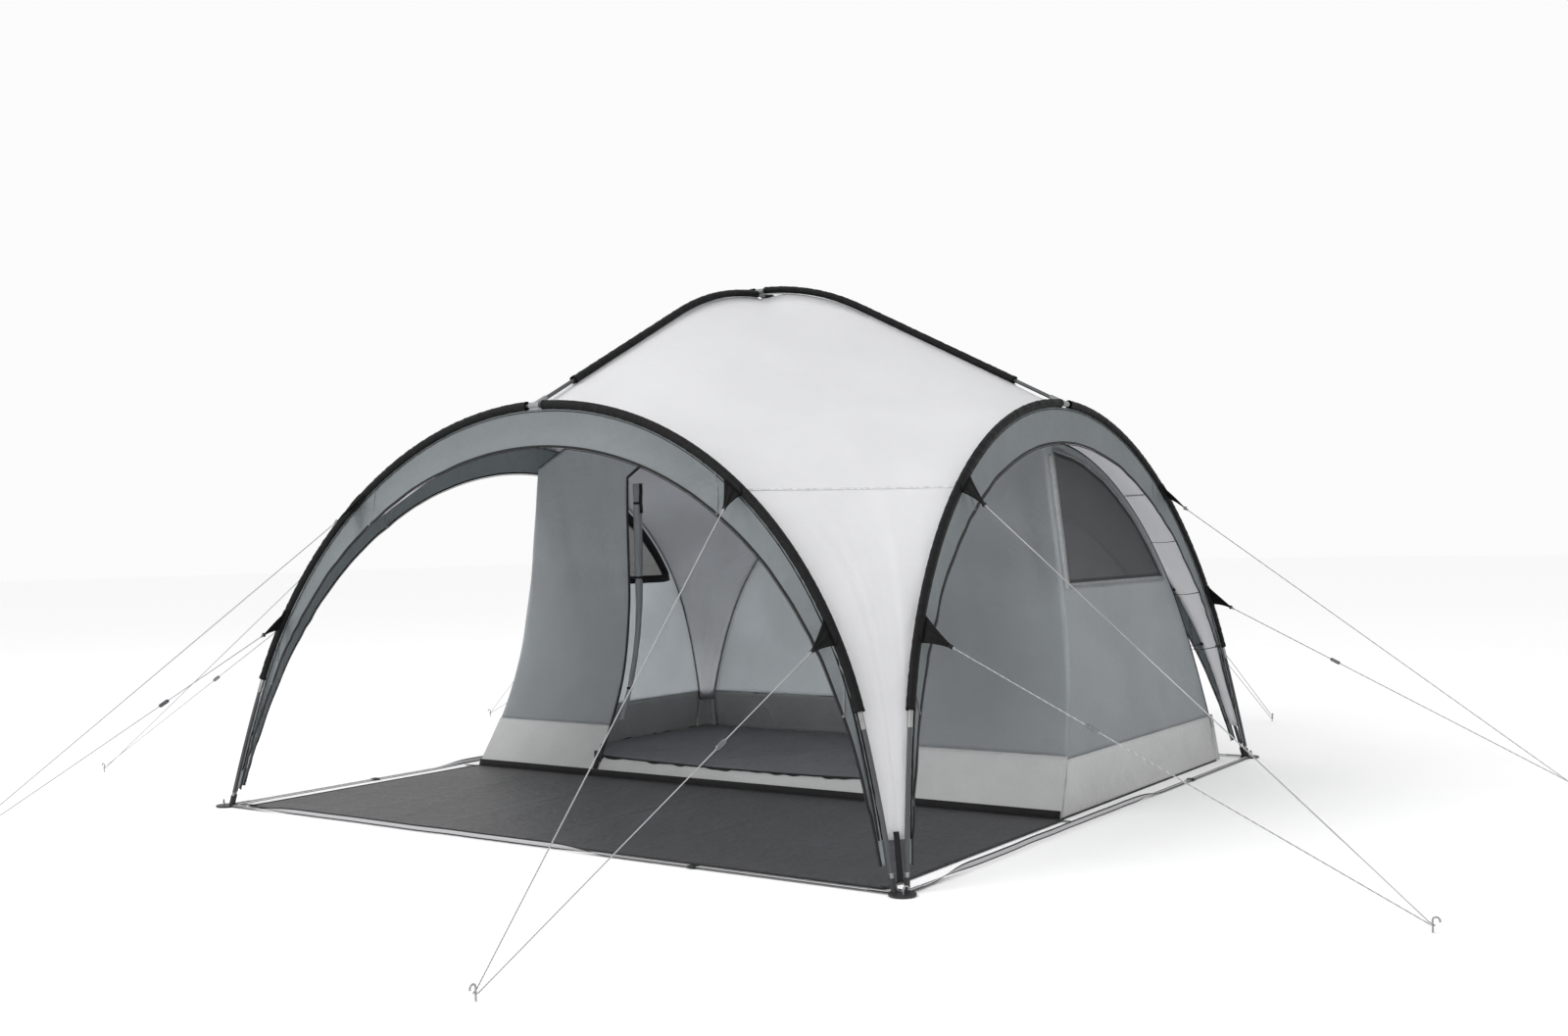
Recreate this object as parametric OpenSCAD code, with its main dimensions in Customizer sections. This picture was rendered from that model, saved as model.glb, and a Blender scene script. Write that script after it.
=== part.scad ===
// Arched tarp shelter: four leaning side arches, two crossing ridge poles, a stretched
// four-panel canopy, and a hung inner tent in the rear half. Origin: centre of the footprint
// on the ground. +Z is up and -Y is the open porch side.

/* [Frame] */
// Distance between neighbouring corner feet
footprint = 3500; // [3300:10:3700]
// Rise of each side arch, measured up its own leaning plane
arch_rise = 1710; // [1650:10:1760]
// Inward lean of each side arch, in degrees
arch_lean = 6.3; // [5:0.1:7.5]
// Height of the roof peak at the pole crossing
peak_height = 2335; // [2280:5:2400]
// Outer diameter of every pole
pole_d = 16; // [14:0.5:18]
// Bore of every pole
pole_bore = 13; // [11:0.5:13.5]

/* [Canopy] */
// Outside diameter of the pole sleeves
sleeve_d = 36; // [34:1:42]
// Thickness used for the canopy skin
skin_t = 4; // [3:0.5:6]
// Depth of the valance band under each arch crown
band_depth = 150; // [120:5:190]
// Height at which each canopy corner ends above the ground
corner_height = 170; // [140:5:200]

/* [Guying] */
// Diameter of the guy lines
line_d = 4; // [2.5:0.5:4.5]
// Diameter of the steel pegs
peg_d = 6; // [5:0.5:7]

/* [Inner tent] */
// Distance of the inner walls inside the arch planes
inner_gap = 110; // [95:5:130]
// Height of the bathtub floor's upstand
tub_height = 230; // [180:10:260]
// Height of the doorway's threshold
threshold = 90; // [70:5:120]
// Clear width of the doorway
door_width = 1700; // [1400:20:1760]
// How far the front wall's foot kicks forward
front_flare = 300; // [240:10:340]

/* [Hidden] */

fine = 256;
round_fn = 32;
eps = 0.3;
half = footprint / 2;

// Side arch: crown, shoulder and leg arcs, tangent to each other.
foot_inset = 30;
arch_turns = [30, 72, 78];
shoulder_r = 1700;
arch_arcs = three_arcs(half - foot_inset, arch_rise, arch_turns, shoulder_r);
pole_end_turn = 77.3;
crown_joint = 10;
shoulder_joint = 51;
sleeve_end_turn = 71;
hub_turn = 1.3;
hub_slip = 0.2;
pole_r = pole_d / 2;
sleeve_r = sleeve_d / 2;
sleeve_wall = 3;
ferrule_len = 60;
ferrule_wall = 1.3;
slip = 0.15;
shock_r = 1.75;

// Ridge poles: a crown arc and a straight flank down to each arch crown.
ridge_turn = 27;
apex_dist = half - arch_rise * sin(arch_lean);
apex_height = arch_rise * cos(arch_lean);
ridge_stop = 24;
cross_offset = pole_r + 1.5;
ridge_sleeve_reach = 1335;
peak_gap = 32;

// Canopy boundary, just inside the sleeves.
skin_inset = 24;
skin_plane = -5;
skin_foot_turn = acos(cos(arch_turns[2]) + corner_height / arch_arcs[2][0]);
skin_cells = 12;
skin_relax = 160;
skin_focus = [0, 0, 500];
canopy_top = peak_height - 42;
band_t = 3;
band_inset = 21;
hem_turns = [35, 60, 78];
hem_lift = 40;
hem_foot = 78;
hem_r = 1600;
hem_rise = arch_rise - band_depth - band_inset - hem_lift;
hem_arcs = lifted(three_arcs(half - hem_foot, hem_rise, hem_turns, hem_r), hem_lift);
band_foot_turn = 77;
zip_w = 7;
zip_t = 5;

// Inner tent.
inner_t = 4;
inner_arcs = three_arcs(half - 150, 1575, [32, 64, 78], 1560);
flare_height = 900;
inner_plane = half - inner_gap;
lean_tan = tan(arch_lean);
inner_foot_turn = 74.6;
inner_top = peak_height - 185;
door_top_height = 1760;
door_top_r = 1430;
window_sill = 950;
window_front = 70;
window_edge = 40;
roof_seam = 9;

// Guy lines. One line, from the upper tab round the peg to the lower tab, in the frame of the
// front arch's right half; the other seven are its mirror images and quarter turns.
peg_spot = [1398, -3278.6];
line_route = [
    [1030, -1702, 1262], [1090, -1963, 1056], [1150, -2224, 850], [1210, -2485, 644],
    [1270, -2746, 438], [1330, -3007, 232], [1390, -3268, 26], [1390, -3276, 22],
    [1392, -3282, 20], [1398, -3284, 20], [1404, -3282, 20], [1406, -3276, 22],
    [1406, -3268, 26], [1411, -3019, 151], [1416, -2770, 276], [1421, -2521, 401],
    [1426, -2272, 526], [1431, -2023, 651], [1436, -1774, 776]
];
line_sides = 8;
runner_at = 16;
runner_len = 34;
runner_w = 15;
runner_t = 7;
upper_tab_turn = 38.3;
lower_tab_turn = 61.2;
tab_half = 52;
tab_t = 3;
tab_tip_half = 6;
tab_clearance = 4;

strap_w = 25;
strap_t = 1.6;
strap_z = 4;
adjuster_u = 900;
web_top_inset = 47;
web_foot_inset = 14;
web_overlap = 8;
web_w = 20;
web_t = 2;

// ---- arcs and points ----

// Three tangent arcs from the crown (turn 0) to the foot: [radius, from, to, centre u, centre w].
function three_arcs(span, rise, turns, mid_r) =
    let (a = turns[0], b = turns[1], c = turns[2],
         m = [[sin(a), sin(c) - sin(b)], [1 - cos(a), cos(b) - cos(c)]],
         v = [span - mid_r * (sin(b) - sin(a)), rise - mid_r * (cos(a) - cos(b))],
         d = m[0][0] * m[1][1] - m[0][1] * m[1][0],
         r1 = (v[0] * m[1][1] - v[1] * m[0][1]) / d,
         r3 = (m[0][0] * v[1] - m[1][0] * v[0]) / d,
         c2 = [r1 * sin(a), rise - r1 * (1 - cos(a))] - mid_r * [sin(a), cos(a)],
         c3 = c2 + (mid_r - r3) * [sin(b), cos(b)])
    [[r1, 0, a, 0, rise - r1], [mid_r, a, b, c2[0], c2[1]], [r3, b, c, c3[0], c3[1]]];

function lifted(arcs, lift) = [for (s = arcs) [s[0], s[1], s[2], s[3], s[4] + lift]];
function parallel(arcs, inset) = [for (s = arcs) [s[0] - inset, s[1], s[2], s[3], s[4]]];
function arc_of(arcs, turn) = turn <= arcs[0][2] ? arcs[0] : turn <= arcs[1][2] ? arcs[1] : arcs[2];
function at_turn(arcs, turn) =
    let (s = arc_of(arcs, turn)) [s[3] + s[0] * sin(turn), s[4] + s[0] * cos(turn)];
function arc_len(s, to) = s[0] * (min(to, s[2]) - s[1]) * PI / 180;
function run_len(arcs, to) =
    arc_len(arcs[0], to) + (to > arcs[1][1] ? arc_len(arcs[1], to) : 0)
    + (to > arcs[2][1] ? arc_len(arcs[2], to) : 0);
function turn_at(arcs, d) =
    let (a = arc_len(arcs[0], arcs[0][2]), b = a + arc_len(arcs[1], arcs[1][2]))
    d <= a ? d / arcs[0][0] * 180 / PI
    : d <= b ? arcs[1][1] + (d - a) / arcs[1][0] * 180 / PI
    : arcs[2][1] + (d - b) / arcs[2][0] * 180 / PI;
// One half of an arch as points, from the foot end to the crown.
function half_points(arcs, foot_turn, step = 3) =
    let (n = ceil(foot_turn / step)) [for (i = [n:-1:0]) at_turn(arcs, foot_turn * i / n)];
function reversed(points) = [for (i = [len(points) - 1:-1:0]) points[i]];
// The whole arch, from the right foot over the crown to the left foot.
function full_arch(arcs, foot_turn) =
    let (h = half_points(arcs, foot_turn), n = len(h))
    concat(h, [for (i = [n - 2:-1:0]) [-h[i][0], h[i][1]]]);

// A point turned k quarter turns about the vertical axis.
function quarter(p, k) =
    [p[0] * cos(90 * k) - p[1] * sin(90 * k), p[0] * sin(90 * k) + p[1] * cos(90 * k), p[2]];
// A point of side k's arch plane; out is the distance outside that plane.
function on_plane(k, p, out = 0) =
    quarter([p[0], -half + p[1] * sin(arch_lean) - out * cos(arch_lean),
             p[1] * cos(arch_lean) + out * sin(arch_lean)], k);
function unit(v) = v / norm(v);
function mix(a, b, t) = a + (b - a) * t;

// Ridge line: [crown radius, flank length] that joins a peak to a point reach away.
function ridge_fit(top, reach, end) =
    let (s = sin(ridge_turn), c = cos(ridge_turn), drop = top - end,
         r = (drop * c - s * reach) / (c * (1 - c) - s * s))
    [r, (reach - r * s) / c];
function ridge_height(top, reach, end, x) =
    let (r = ridge_fit(top, reach, end)[0], bend = r * sin(ridge_turn), d = abs(x))
    d <= bend ? top - r + sqrt(r * r - d * d)
    : top - r * (1 - cos(ridge_turn)) - (d - bend) * tan(ridge_turn);

// ---- stretched skins ----

// A quarter of the roof: rows climb from the corner foot to the ridge, and columns cross from
// side 0's arch to side 1's arch.
function skin_edges(arcs, out, foot_turn, top) =
    let (reach = -on_plane(0, at_turn(arcs, 0), out)[1], end = on_plane(0, at_turn(arcs, 0), out)[2],
         total = run_len(arcs, foot_turn))
    [for (t = [0:skin_cells])
        let (p = at_turn(arcs, turn_at(arcs, total * (1 - t / skin_cells))),
             s = 2 * t / skin_cells - 1, x = abs(s) * reach, z = ridge_height(top, reach, end, x))
        [on_plane(0, p, out), on_plane(1, [-p[0], p[1]], out), s < 0 ? [0, -x, z] : [x, 0, z]]];
function skin_start(edges) =
    let (n = skin_cells, a = edges[0][0], b = edges[0][1], c = edges[n][0], d = edges[n][1])
    [for (j = [0:n]) [for (i = [0:n])
        let (u = i / n, v = j / n)
        mix(edges[j][0], edges[j][1], u) + mix(mix(a, b, u), edges[i][2], v)
        - mix(mix(a, b, u), mix(c, d, u), v)]];
// How much harder each row pulls across than up, as its cells narrow toward the corner.
function skin_pulls(edges) =
    let (n = skin_cells, climb = norm(edges[n][0] - edges[0][0]) / n)
    [for (j = [0:n]) pow(climb * n / norm(edges[j][1] - edges[j][0]), 2)];
// Every inner point moves to its balance between its four neighbours, as a tight skin does.
function relaxed(grid, pulls, passes) =
    passes == 0 ? grid
    : relaxed([for (j = [0:skin_cells]) [for (i = [0:skin_cells])
        i == 0 || j == 0 || i == skin_cells || j == skin_cells ? grid[j][i]
        : (pulls[j] * (grid[j][i - 1] + grid[j][i + 1]) + grid[j - 1][i] + grid[j + 1][i])
            / (2 * pulls[j] + 2)]], pulls, passes - 1);
function quarter_skin(arcs, out, foot_turn, top) =
    let (edges = skin_edges(arcs, out, foot_turn, top))
    relaxed(skin_start(edges), skin_pulls(edges), skin_relax);

function split_quads(quads) = [for (q = quads) each [[q[0], q[1], q[2]], [q[0], q[2], q[3]]]];

module skin(grid, thickness) {
    n = skin_cells + 1;
    outer = [for (row = grid) each row];
    inner = [for (p = outer) p + thickness * unit(skin_focus - p)];
    back = n * n;
    face = [for (j = [0:n - 2]) for (i = [0:n - 2])
        [j * n + i, (j + 1) * n + i, (j + 1) * n + i + 1, j * n + i + 1]];
    lining = [for (q = face) [q[0] + back, q[3] + back, q[2] + back, q[1] + back]];
    last = (n - 1) * n;
    rims = [for (i = [0:n - 2]) each [
        [i, i + 1, i + 1 + back, i + back],
        [last + i + 1, last + i, last + i + back, last + i + 1 + back],
        [(i + 1) * n, i * n, i * n + back, (i + 1) * n + back],
        [i * n + n - 1, (i + 1) * n + n - 1, (i + 1) * n + n - 1 + back, i * n + n - 1 + back]]];
    polyhedron(concat(outer, inner), split_quads(concat(face, lining, rims)));
}

// ---- swept cords ----

module sweep(route, r, sides, across = [0, 0, 1]) {
    n = len(route);
    rings = [for (i = [0:n - 1])
        let (t = unit(route[min(i + 1, n - 1)] - route[max(i - 1, 0)]),
             side = unit(cross(t, across)), up = cross(side, t))
        for (a = [0:sides - 1])
            route[i] + r * (cos(360 * a / sides) * side + sin(360 * a / sides) * up)];
    walls = [for (i = [0:n - 2]) for (a = [0:sides - 1])
        let (b = (a + 1) % sides)
        [i * sides + a, i * sides + b, (i + 1) * sides + b, (i + 1) * sides + a]];
    start = [for (a = [sides - 1:-1:0]) a];
    end = [for (a = [0:sides - 1]) (n - 1) * sides + a];
    polyhedron(rings, concat([start], walls, [end]));
}

// ---- placing ----

module on_side(k) {
    rotate([0, 0, 90 * k]) translate([0, -half, 0]) rotate([90 - arch_lean, 0, 0]) children();
}

// A stretch of round tube along one arc of an arch, right half for side = 1.
module arc_tube(s, from, to, outer, bore) {
    translate([s[3], s[4], 0]) rotate([0, 0, 90 - to])
        rotate_extrude(angle = to - from, $fn = fine) translate([s[0], 0]) difference() {
            circle(r = outer, $fn = round_fn);
            if (bore > 0) circle(r = bore, $fn = round_fn);
        }
}

module both_halves() {
    children();
    mirror([1, 0, 0]) children();
}

function gap_turn(s) = eps / s[0] * 180 / PI;

module tube_run(stops, outer, bore) {
    for (i = [0:len(stops) - 2]) {
        s = arc_of(arch_arcs, (stops[i] + stops[i + 1]) / 2);
        arc_tube(s, stops[i] + gap_turn(s), stops[i + 1] - gap_turn(s), outer, bore);
    }
}

// ---- frame ----

module arch_pole(k) {
    crown = arch_arcs[0];
    color("dimgray") on_side(k) {
        arc_tube(crown, -crown_joint + gap_turn(crown), crown_joint - gap_turn(crown),
                 pole_r, pole_bore / 2);
        both_halves()
            tube_run([crown_joint, arch_turns[0], shoulder_joint, arch_turns[1], pole_end_turn],
                     pole_r, pole_bore / 2);
    }
}

ridge_reach = apex_dist - ridge_stop;
ridge_end = apex_height + ridge_stop * tan(ridge_turn);

// Children are drawn in a frame whose X runs along the ridge and whose Y is up.
module upright() {
    rotate([90, 0, 0]) children();
}

module ridge_tube(top, reach, outer, bore, gap = 0) {
    fit = ridge_fit(top, ridge_reach, ridge_end);
    r = fit[0];
    bend = [r * sin(ridge_turn), top - r * (1 - cos(ridge_turn))];
    flank = (reach - bend[0]) / cos(ridge_turn);
    gap_angle = gap / r * 180 / PI;
    crown = [r, 0, ridge_turn, 0, top - r];
    upright() both_halves() {
        arc_tube(crown, gap_angle, ridge_turn, outer, bore);
        translate([bend[0], bend[1], 0]) rotate([0, 90, 0]) rotate([ridge_turn, 0, 0])
            translate([0, 0, eps]) difference() {
                cylinder(h = flank - eps, r = outer, $fn = round_fn);
                if (bore > 0) translate([0, 0, -1]) cylinder(h = flank + 2, r = bore, $fn = round_fn);
            }
    }
}

module ridge_pole_side_to_side() {
    color("dimgray") ridge_tube(peak_height + cross_offset, ridge_reach, pole_r, pole_bore / 2, eps);
}

module ridge_pole_front_to_rear() {
    color("dimgray") rotate([0, 0, 90])
        ridge_tube(peak_height - cross_offset, ridge_reach, pole_r, pole_bore / 2, eps);
}

module ferrule(turn) {
    s = arc_of(arch_arcs, turn - 0.5);
    reach = ferrule_len / s[0] * 90 / PI;
    arc_tube(s, turn - reach, turn - gap_turn(s), pole_r + slip + ferrule_wall, pole_r + slip);
    t = arc_of(arch_arcs, turn + 0.5);
    more = ferrule_len / t[0] * 90 / PI;
    arc_tube(t, turn + gap_turn(t), turn + more, pole_r + slip + ferrule_wall, pole_r + slip);
}

module pole_ferrules() {
    color("silver") for (k = [0:3]) on_side(k) both_halves()
        for (turn = [crown_joint, arch_turns[0], shoulder_joint, arch_turns[1]]) ferrule(turn);
}

module pole_shock_cords() {
    color("black") {
        for (k = [0:3]) on_side(k) both_halves()
            tube_run([0, arch_turns[0], arch_turns[1], pole_end_turn - 0.6], shock_r, 0);
        ridge_tube(peak_height + cross_offset, ridge_reach - 5, shock_r, 0, eps);
        rotate([0, 0, 90]) ridge_tube(peak_height - cross_offset, ridge_reach - 5, shock_r, 0, eps);
    }
}

tip_base = at_turn(arch_arcs, pole_end_turn);
tip_drop = (tip_base[1] - 8) / sin(pole_end_turn);
tip_r = 6;

module pole_tips() {
    color("silver") for (k = [0:3]) on_side(k) both_halves()
        translate([tip_base[0], tip_base[1], 0]) rotate([0, 0, -pole_end_turn]) rotate([0, 90, 0]) {
            cylinder(h = tip_drop, r = tip_r, $fn = round_fn);
            translate([0, 0, eps]) cylinder(h = 4, r = pole_r, $fn = round_fn);
        }
}

hub_r = pole_r + 4;
socket_len = 70;

module apex_hub() {
    crown = arch_arcs[0];
    difference() {
        union() {
            on_side(0) arc_tube(crown, -hub_turn + 0.35, hub_turn - 0.35, hub_r, 0);
            translate([0, -apex_dist, apex_height]) rotate([ridge_turn - 90, 0, 0])
                cylinder(h = socket_len, r = hub_r, $fn = round_fn);
        }
        on_side(0) arc_tube(crown, -hub_turn, hub_turn, pole_r + slip, 0);
        translate([0, -apex_dist, apex_height]) rotate([ridge_turn - 90, 0, 0])
            translate([0, 0, pole_r + 4]) cylinder(h = socket_len, r = pole_r + slip, $fn = round_fn);
    }
}

module apex_hubs() {
    color("gray") for (k = [0:3]) rotate([0, 0, 90 * k]) apex_hub();
}

clip_len = 46;

module peak_clip() {
    color("gray") difference() {
        union() {
            translate([0, 0, peak_height + cross_offset]) rotate([0, 90, 0])
                cylinder(h = clip_len, r = pole_r + 3, center = true, $fn = round_fn);
            translate([0, 0, peak_height - cross_offset]) rotate([90, 0, 0])
                cylinder(h = clip_len, r = pole_r + 3, center = true, $fn = round_fn);
        }
        translate([0, 0, peak_height + cross_offset]) rotate([0, 90, 0])
            cylinder(h = clip_len + 2, r = pole_r + 0.35, center = true, $fn = round_fn);
        translate([0, 0, peak_height - cross_offset]) rotate([90, 0, 0])
            cylinder(h = clip_len + 2, r = pole_r + 0.35, center = true, $fn = round_fn);
    }
}

// ---- corners ----

foot_r = 46;
foot_t = 6;
socket_h = 46;
socket_wall = 4;
foot_reach = 100;
pin_hole_r = 4.5;
spare_hole = 22;
pin_hole = 8;
pin_height = 22;
pin_hook = 9;
guy_peg_height = 34;
guy_peg_hook = 10;
hook_turn = 200;

module foot_socket(outer, k, side) {
    on_side(k) translate([side * tip_base[0], tip_base[1], 0])
        rotate([0, 0, side > 0 ? -pole_end_turn : pole_end_turn - 180]) rotate([0, 90, 0])
            translate([0, 0, tip_drop - socket_h + socket_wall])
                cylinder(h = socket_h, r = outer, $fn = round_fn);
}

module foot_sockets(outer) {
    foot_socket(outer, 0, 1);
    foot_socket(outer, 1, -1);
}

// Everything near the front right foot that is above a height.
module above_plate(height) {
    translate([half - foot_reach, -half - foot_reach, height])
        cube([2 * foot_reach, 2 * foot_reach, foot_reach]);
}

// The foot at the front right corner.
module corner_foot() {
    difference() {
        union() {
            translate([half, -half, 0]) cylinder(h = foot_t, r = foot_r, $fn = fine);
            intersection() {
                foot_sockets(tip_r + socket_wall);
                above_plate(1);
            }
        }
        intersection() {
            foot_sockets(tip_r + slip);
            above_plate(foot_t);
        }
        for (out = [pin_hole, spare_hole]) translate([half + out, -half - out, -1])
            cylinder(h = foot_t + 2, r = pin_hole_r, $fn = round_fn);
    }
}

module corner_feet() {
    color("black") for (k = [0:3]) rotate([0, 0, 90 * k]) corner_foot();
}

// A round steel peg: a shank out of the ground and a hook bent away from the shelter.
module peg(height, hook) {
    cylinder(h = height, r = peg_d / 2, $fn = round_fn);
    translate([0, -hook, height + eps]) rotate([90, 0, 90])
        rotate_extrude(angle = hook_turn, $fn = fine) translate([hook, 0])
            circle(r = peg_d / 2, $fn = round_fn);
}

module corner_pegs() {
    color("silver") for (k = [0:3]) rotate([0, 0, 90 * k])
        translate([half + pin_hole, -half - pin_hole, 0]) rotate([0, 0, 135]) peg(pin_height, pin_hook);
}

module corner_webbing() {
    top = half - web_top_inset;
    high = corner_height - web_overlap;
    drop = high - foot_t - web_overlap;
    slope = atan((web_top_inset - web_foot_inset) * sqrt(2) / drop);
    fall = drop / cos(slope);
    color("black") for (k = [0:3]) rotate([0, 0, 90 * k])
        translate([top, -top, high]) rotate([0, 0, -45]) rotate([0, -slope, 0])
            translate([-web_t / 2, -web_w / 2, -fall]) cube([web_t, web_w, fall]);
}

// ---- ground straps ----

module ground_straps() {
    reach = half - foot_r - 2;
    color("black") for (k = [0:3]) rotate([0, 0, 90 * k])
        translate([-reach, -half - strap_w / 2, strap_z]) cube([2 * reach, strap_w, strap_t]);
}

module strap_adjuster(k) {
    w = strap_w + 10;
    color("black") rotate([0, 0, 90 * k]) translate([adjuster_u, -half, strap_z + strap_t / 2])
        difference() {
            translate([-15, -w / 2, -3.6]) cube([30, w, 7.2]);
            translate([-16, -strap_w / 2 - 0.6, -strap_t / 2 - 0.5]) cube([32, strap_w + 1.2, strap_t + 1]);
            translate([-10, -strap_w / 2 - 0.6, -4]) cube([7, strap_w + 1.2, 8]);
            translate([3, -strap_w / 2 - 0.6, -4]) cube([7, strap_w + 1.2, 8]);
        }
}

// ---- canopy ----

canopy_arcs = parallel(arch_arcs, skin_inset);

module canopy_panel(k) {
    color("whitesmoke") rotate([0, 0, 90 * k])
        skin(quarter_skin(canopy_arcs, skin_plane, skin_foot_turn, canopy_top), skin_t);
}

module arch_sleeve() {
    both_halves()
        tube_run([hub_turn + hub_slip, arch_turns[0], sleeve_end_turn], sleeve_r, sleeve_r - sleeve_wall);
}

module arch_sleeves() {
    color("black") for (k = [0:3]) on_side(k) arch_sleeve();
}

module ridge_sleeve(top) {
    ridge_tube(top, ridge_sleeve_reach, sleeve_r, sleeve_r - sleeve_wall, peak_gap);
}

module ridge_sleeves() {
    color("black") {
        ridge_sleeve(peak_height + cross_offset);
        rotate([0, 0, 90]) ridge_sleeve(peak_height - cross_offset);
    }
}

module band(k) {
    outline = concat(full_arch(parallel(arch_arcs, band_inset), band_foot_turn),
                     reversed(full_arch(hem_arcs, band_foot_turn)));
    color("lightslategray") on_side(k) translate([0, 0, -band_t / 2])
        linear_extrude(band_t) polygon(outline);
}

module band_zips() {
    outline = concat(full_arch(parallel(hem_arcs, eps), band_foot_turn),
                     reversed(full_arch(parallel(hem_arcs, zip_w + eps), band_foot_turn)));
    color("black") for (k = [0:3]) on_side(k) translate([0, 0, -zip_t / 2])
        linear_extrude(zip_t) polygon(outline);
}

// A triangular guy tab: its base lies along the sleeve and its tip points at the peg.
module guy_tab(turn, tip) {
    centre = on_plane(0, at_turn(arch_arcs, turn));
    s = arc_of(arch_arcs, turn);
    spread = tab_half / s[0] * 180 / PI;
    aim = unit(tip - centre);
    along = unit(on_plane(0, at_turn(arch_arcs, turn + spread))
                 - on_plane(0, at_turn(arch_arcs, turn - spread)));
    face = unit(cross(aim, along));
    start = centre + aim * (sleeve_r + tab_clearance) / norm(cross(aim, along));
    corners = [start - along * tab_half, start + along * tab_half,
               tip + along * tab_tip_half, tip - along * tab_tip_half];
    points = [for (side = [-1, 1]) for (p = corners) p + face * side * tab_t / 2];
    polyhedron(points, split_quads([[0, 1, 2, 3], [7, 6, 5, 4], [4, 5, 1, 0], [5, 6, 2, 1],
                                    [6, 7, 3, 2], [7, 4, 0, 3]]));
}

module guy_tabs() {
    color("black") for (k = [0:3]) rotate([0, 0, 90 * k]) both_halves() {
        guy_tab(upper_tab_turn, line_route[0]);
        guy_tab(lower_tab_turn, line_route[len(line_route) - 1]);
    }
}

// ---- guying ----

module placed(k, side) {
    rotate([0, 0, 90 * k]) mirror([side > 0 ? 0 : 1, 0, 0]) children();
}

module guy_line(k, side) {
    color("lightgray") placed(k, side) sweep(line_route, line_d / 2, line_sides);
}

module line_runner(k, side) {
    at = line_route[runner_at];
    aim = unit(line_route[runner_at + 1] - at);
    heading = atan2(aim[1], aim[0]);
    climb = asin(aim[2]);
    color("silver") placed(k, side) translate(at) rotate([0, 0, heading]) rotate([0, -climb, 0])
        difference() {
            union() {
                translate([-runner_len / 2, -runner_t / 2, -runner_w / 2])
                    cube([runner_len, runner_t, runner_w]);
                translate([-runner_len / 2, 0, 0]) rotate([90, 0, 0])
                    cylinder(h = runner_t, r = runner_w / 2, center = true, $fn = round_fn);
                translate([runner_len / 2, 0, 0]) rotate([90, 0, 0])
                    cylinder(h = runner_t, r = runner_w / 2, center = true, $fn = round_fn);
            }
            translate([-runner_len, 0, 0]) rotate([0, 90, 0])
                cylinder(h = 2 * runner_len, r = line_d / 2 + 0.6, $fn = round_fn);
            translate([runner_len / 4, 0, 0]) rotate([90, 0, 0])
                cylinder(h = runner_t + 2, r = 3.4, center = true, $fn = round_fn);
            translate([-runner_len / 4, 0, 0]) rotate([90, 0, 0])
                cylinder(h = runner_t + 2, r = 3.4, center = true, $fn = round_fn);
        }
}

module guy_pegs() {
    color("silver") for (k = [0:3]) for (side = [-1, 1])
        placed(k, side) translate([peg_spot[0], peg_spot[1], 0]) peg(guy_peg_height, guy_peg_hook);
}

// ---- ground ----

sheet_edge = half - 100;
sheet_t = 2;

module groundsheet() {
    color("darkslategray") translate([-sheet_edge, -half + 50, 0])
        cube([2 * sheet_edge, half - 50 - front_flare - 8, sheet_t]);
}

// ---- inner tent ----

function flare(z) = z < flare_height ? front_flare * pow(1 - z / flare_height, 2) : 0;
function side_edge(z) = inner_plane - lean_tan * z;
flare_steps = [0, 90, 180, 270, 380, 500, 640, 780, 900];
inner_end = on_plane(0, at_turn(inner_arcs, 0), -inner_gap);

// The front wall's curved sheet between two heights, cut to a side-on profile.
module front_sheet(bottom, top) {
    levels = concat([bottom], [for (z = flare_steps) if (z > bottom && z < top) z], [top]);
    profile = concat([for (z = levels) [-flare(z), z]],
                     [for (i = [len(levels) - 1:-1:0]) [-flare(levels[i]) + inner_t, levels[i]]]);
    rotate([90, 0, 90]) translate([0, 0, -half]) linear_extrude(2 * half) polygon(profile);
}

function ridge_inside(x) = ridge_height(inner_top, -inner_end[1], inner_end[2], x);

// The front wall seen square on, between two heights.
module front_outline(bottom, top) {
    reach = -inner_end[1];
    roof = [for (i = [6:-1:-6]) [reach * i / 6, ridge_inside(reach * i / 6) - roof_seam]];
    intersection() {
        polygon(concat([[-side_edge(0) + 6, 0], [side_edge(0) - 6, 0]], [for (p = roof) p]));
        translate([-half, bottom]) square([2 * half, top - bottom]);
    }
}

module doorway(sill) {
    w = door_width / 2;
    intersection() {
        translate([-w, sill]) square([door_width, door_top_height - sill]);
        translate([0, door_top_height - door_top_r]) circle(r = door_top_r, $fn = fine);
    }
}

module inner_front_wall() {
    color("slategray") intersection() {
        front_sheet(tub_height + eps, inner_top);
        rotate([90, 0, 0]) translate([0, 0, -half]) linear_extrude(2 * half) difference() {
            front_outline(tub_height, inner_top);
            doorway(threshold);
        }
    }
}

// A leaning wall's outline under the inner arch, between two heights; its foot drops straight.
module arch_outline(bottom, top) {
    foot = at_turn(inner_arcs, inner_foot_turn);
    intersection() {
        polygon(concat([[foot[0], 0]], full_arch(inner_arcs, inner_foot_turn), [[-foot[0], 0]]));
        translate([-half, bottom]) square([2 * half, top - bottom]);
    }
}

// A side wall's outline: the rear half of an arch, plus the front wall's forward kick.
module side_outline(bottom, top) {
    levels = [for (z = flare_steps) if (z > bottom && z < top) z];
    front = concat([[-flare(bottom) + inner_t + 1, bottom]],
                   [for (z = levels) [-flare(z) + inner_t + 1, z]],
                   [[inner_t + 1, top]]);
    intersection() {
        polygon(concat(front, [[half, top], [half, bottom]]));
        arch_outline(bottom, top);
    }
}

module window_outline(edge) {
    intersection() {
        polygon(full_arch(parallel(inner_arcs, window_edge + edge), inner_foot_turn));
        translate([window_front + edge, window_sill + edge]) square([half, half]);
    }
}

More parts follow.
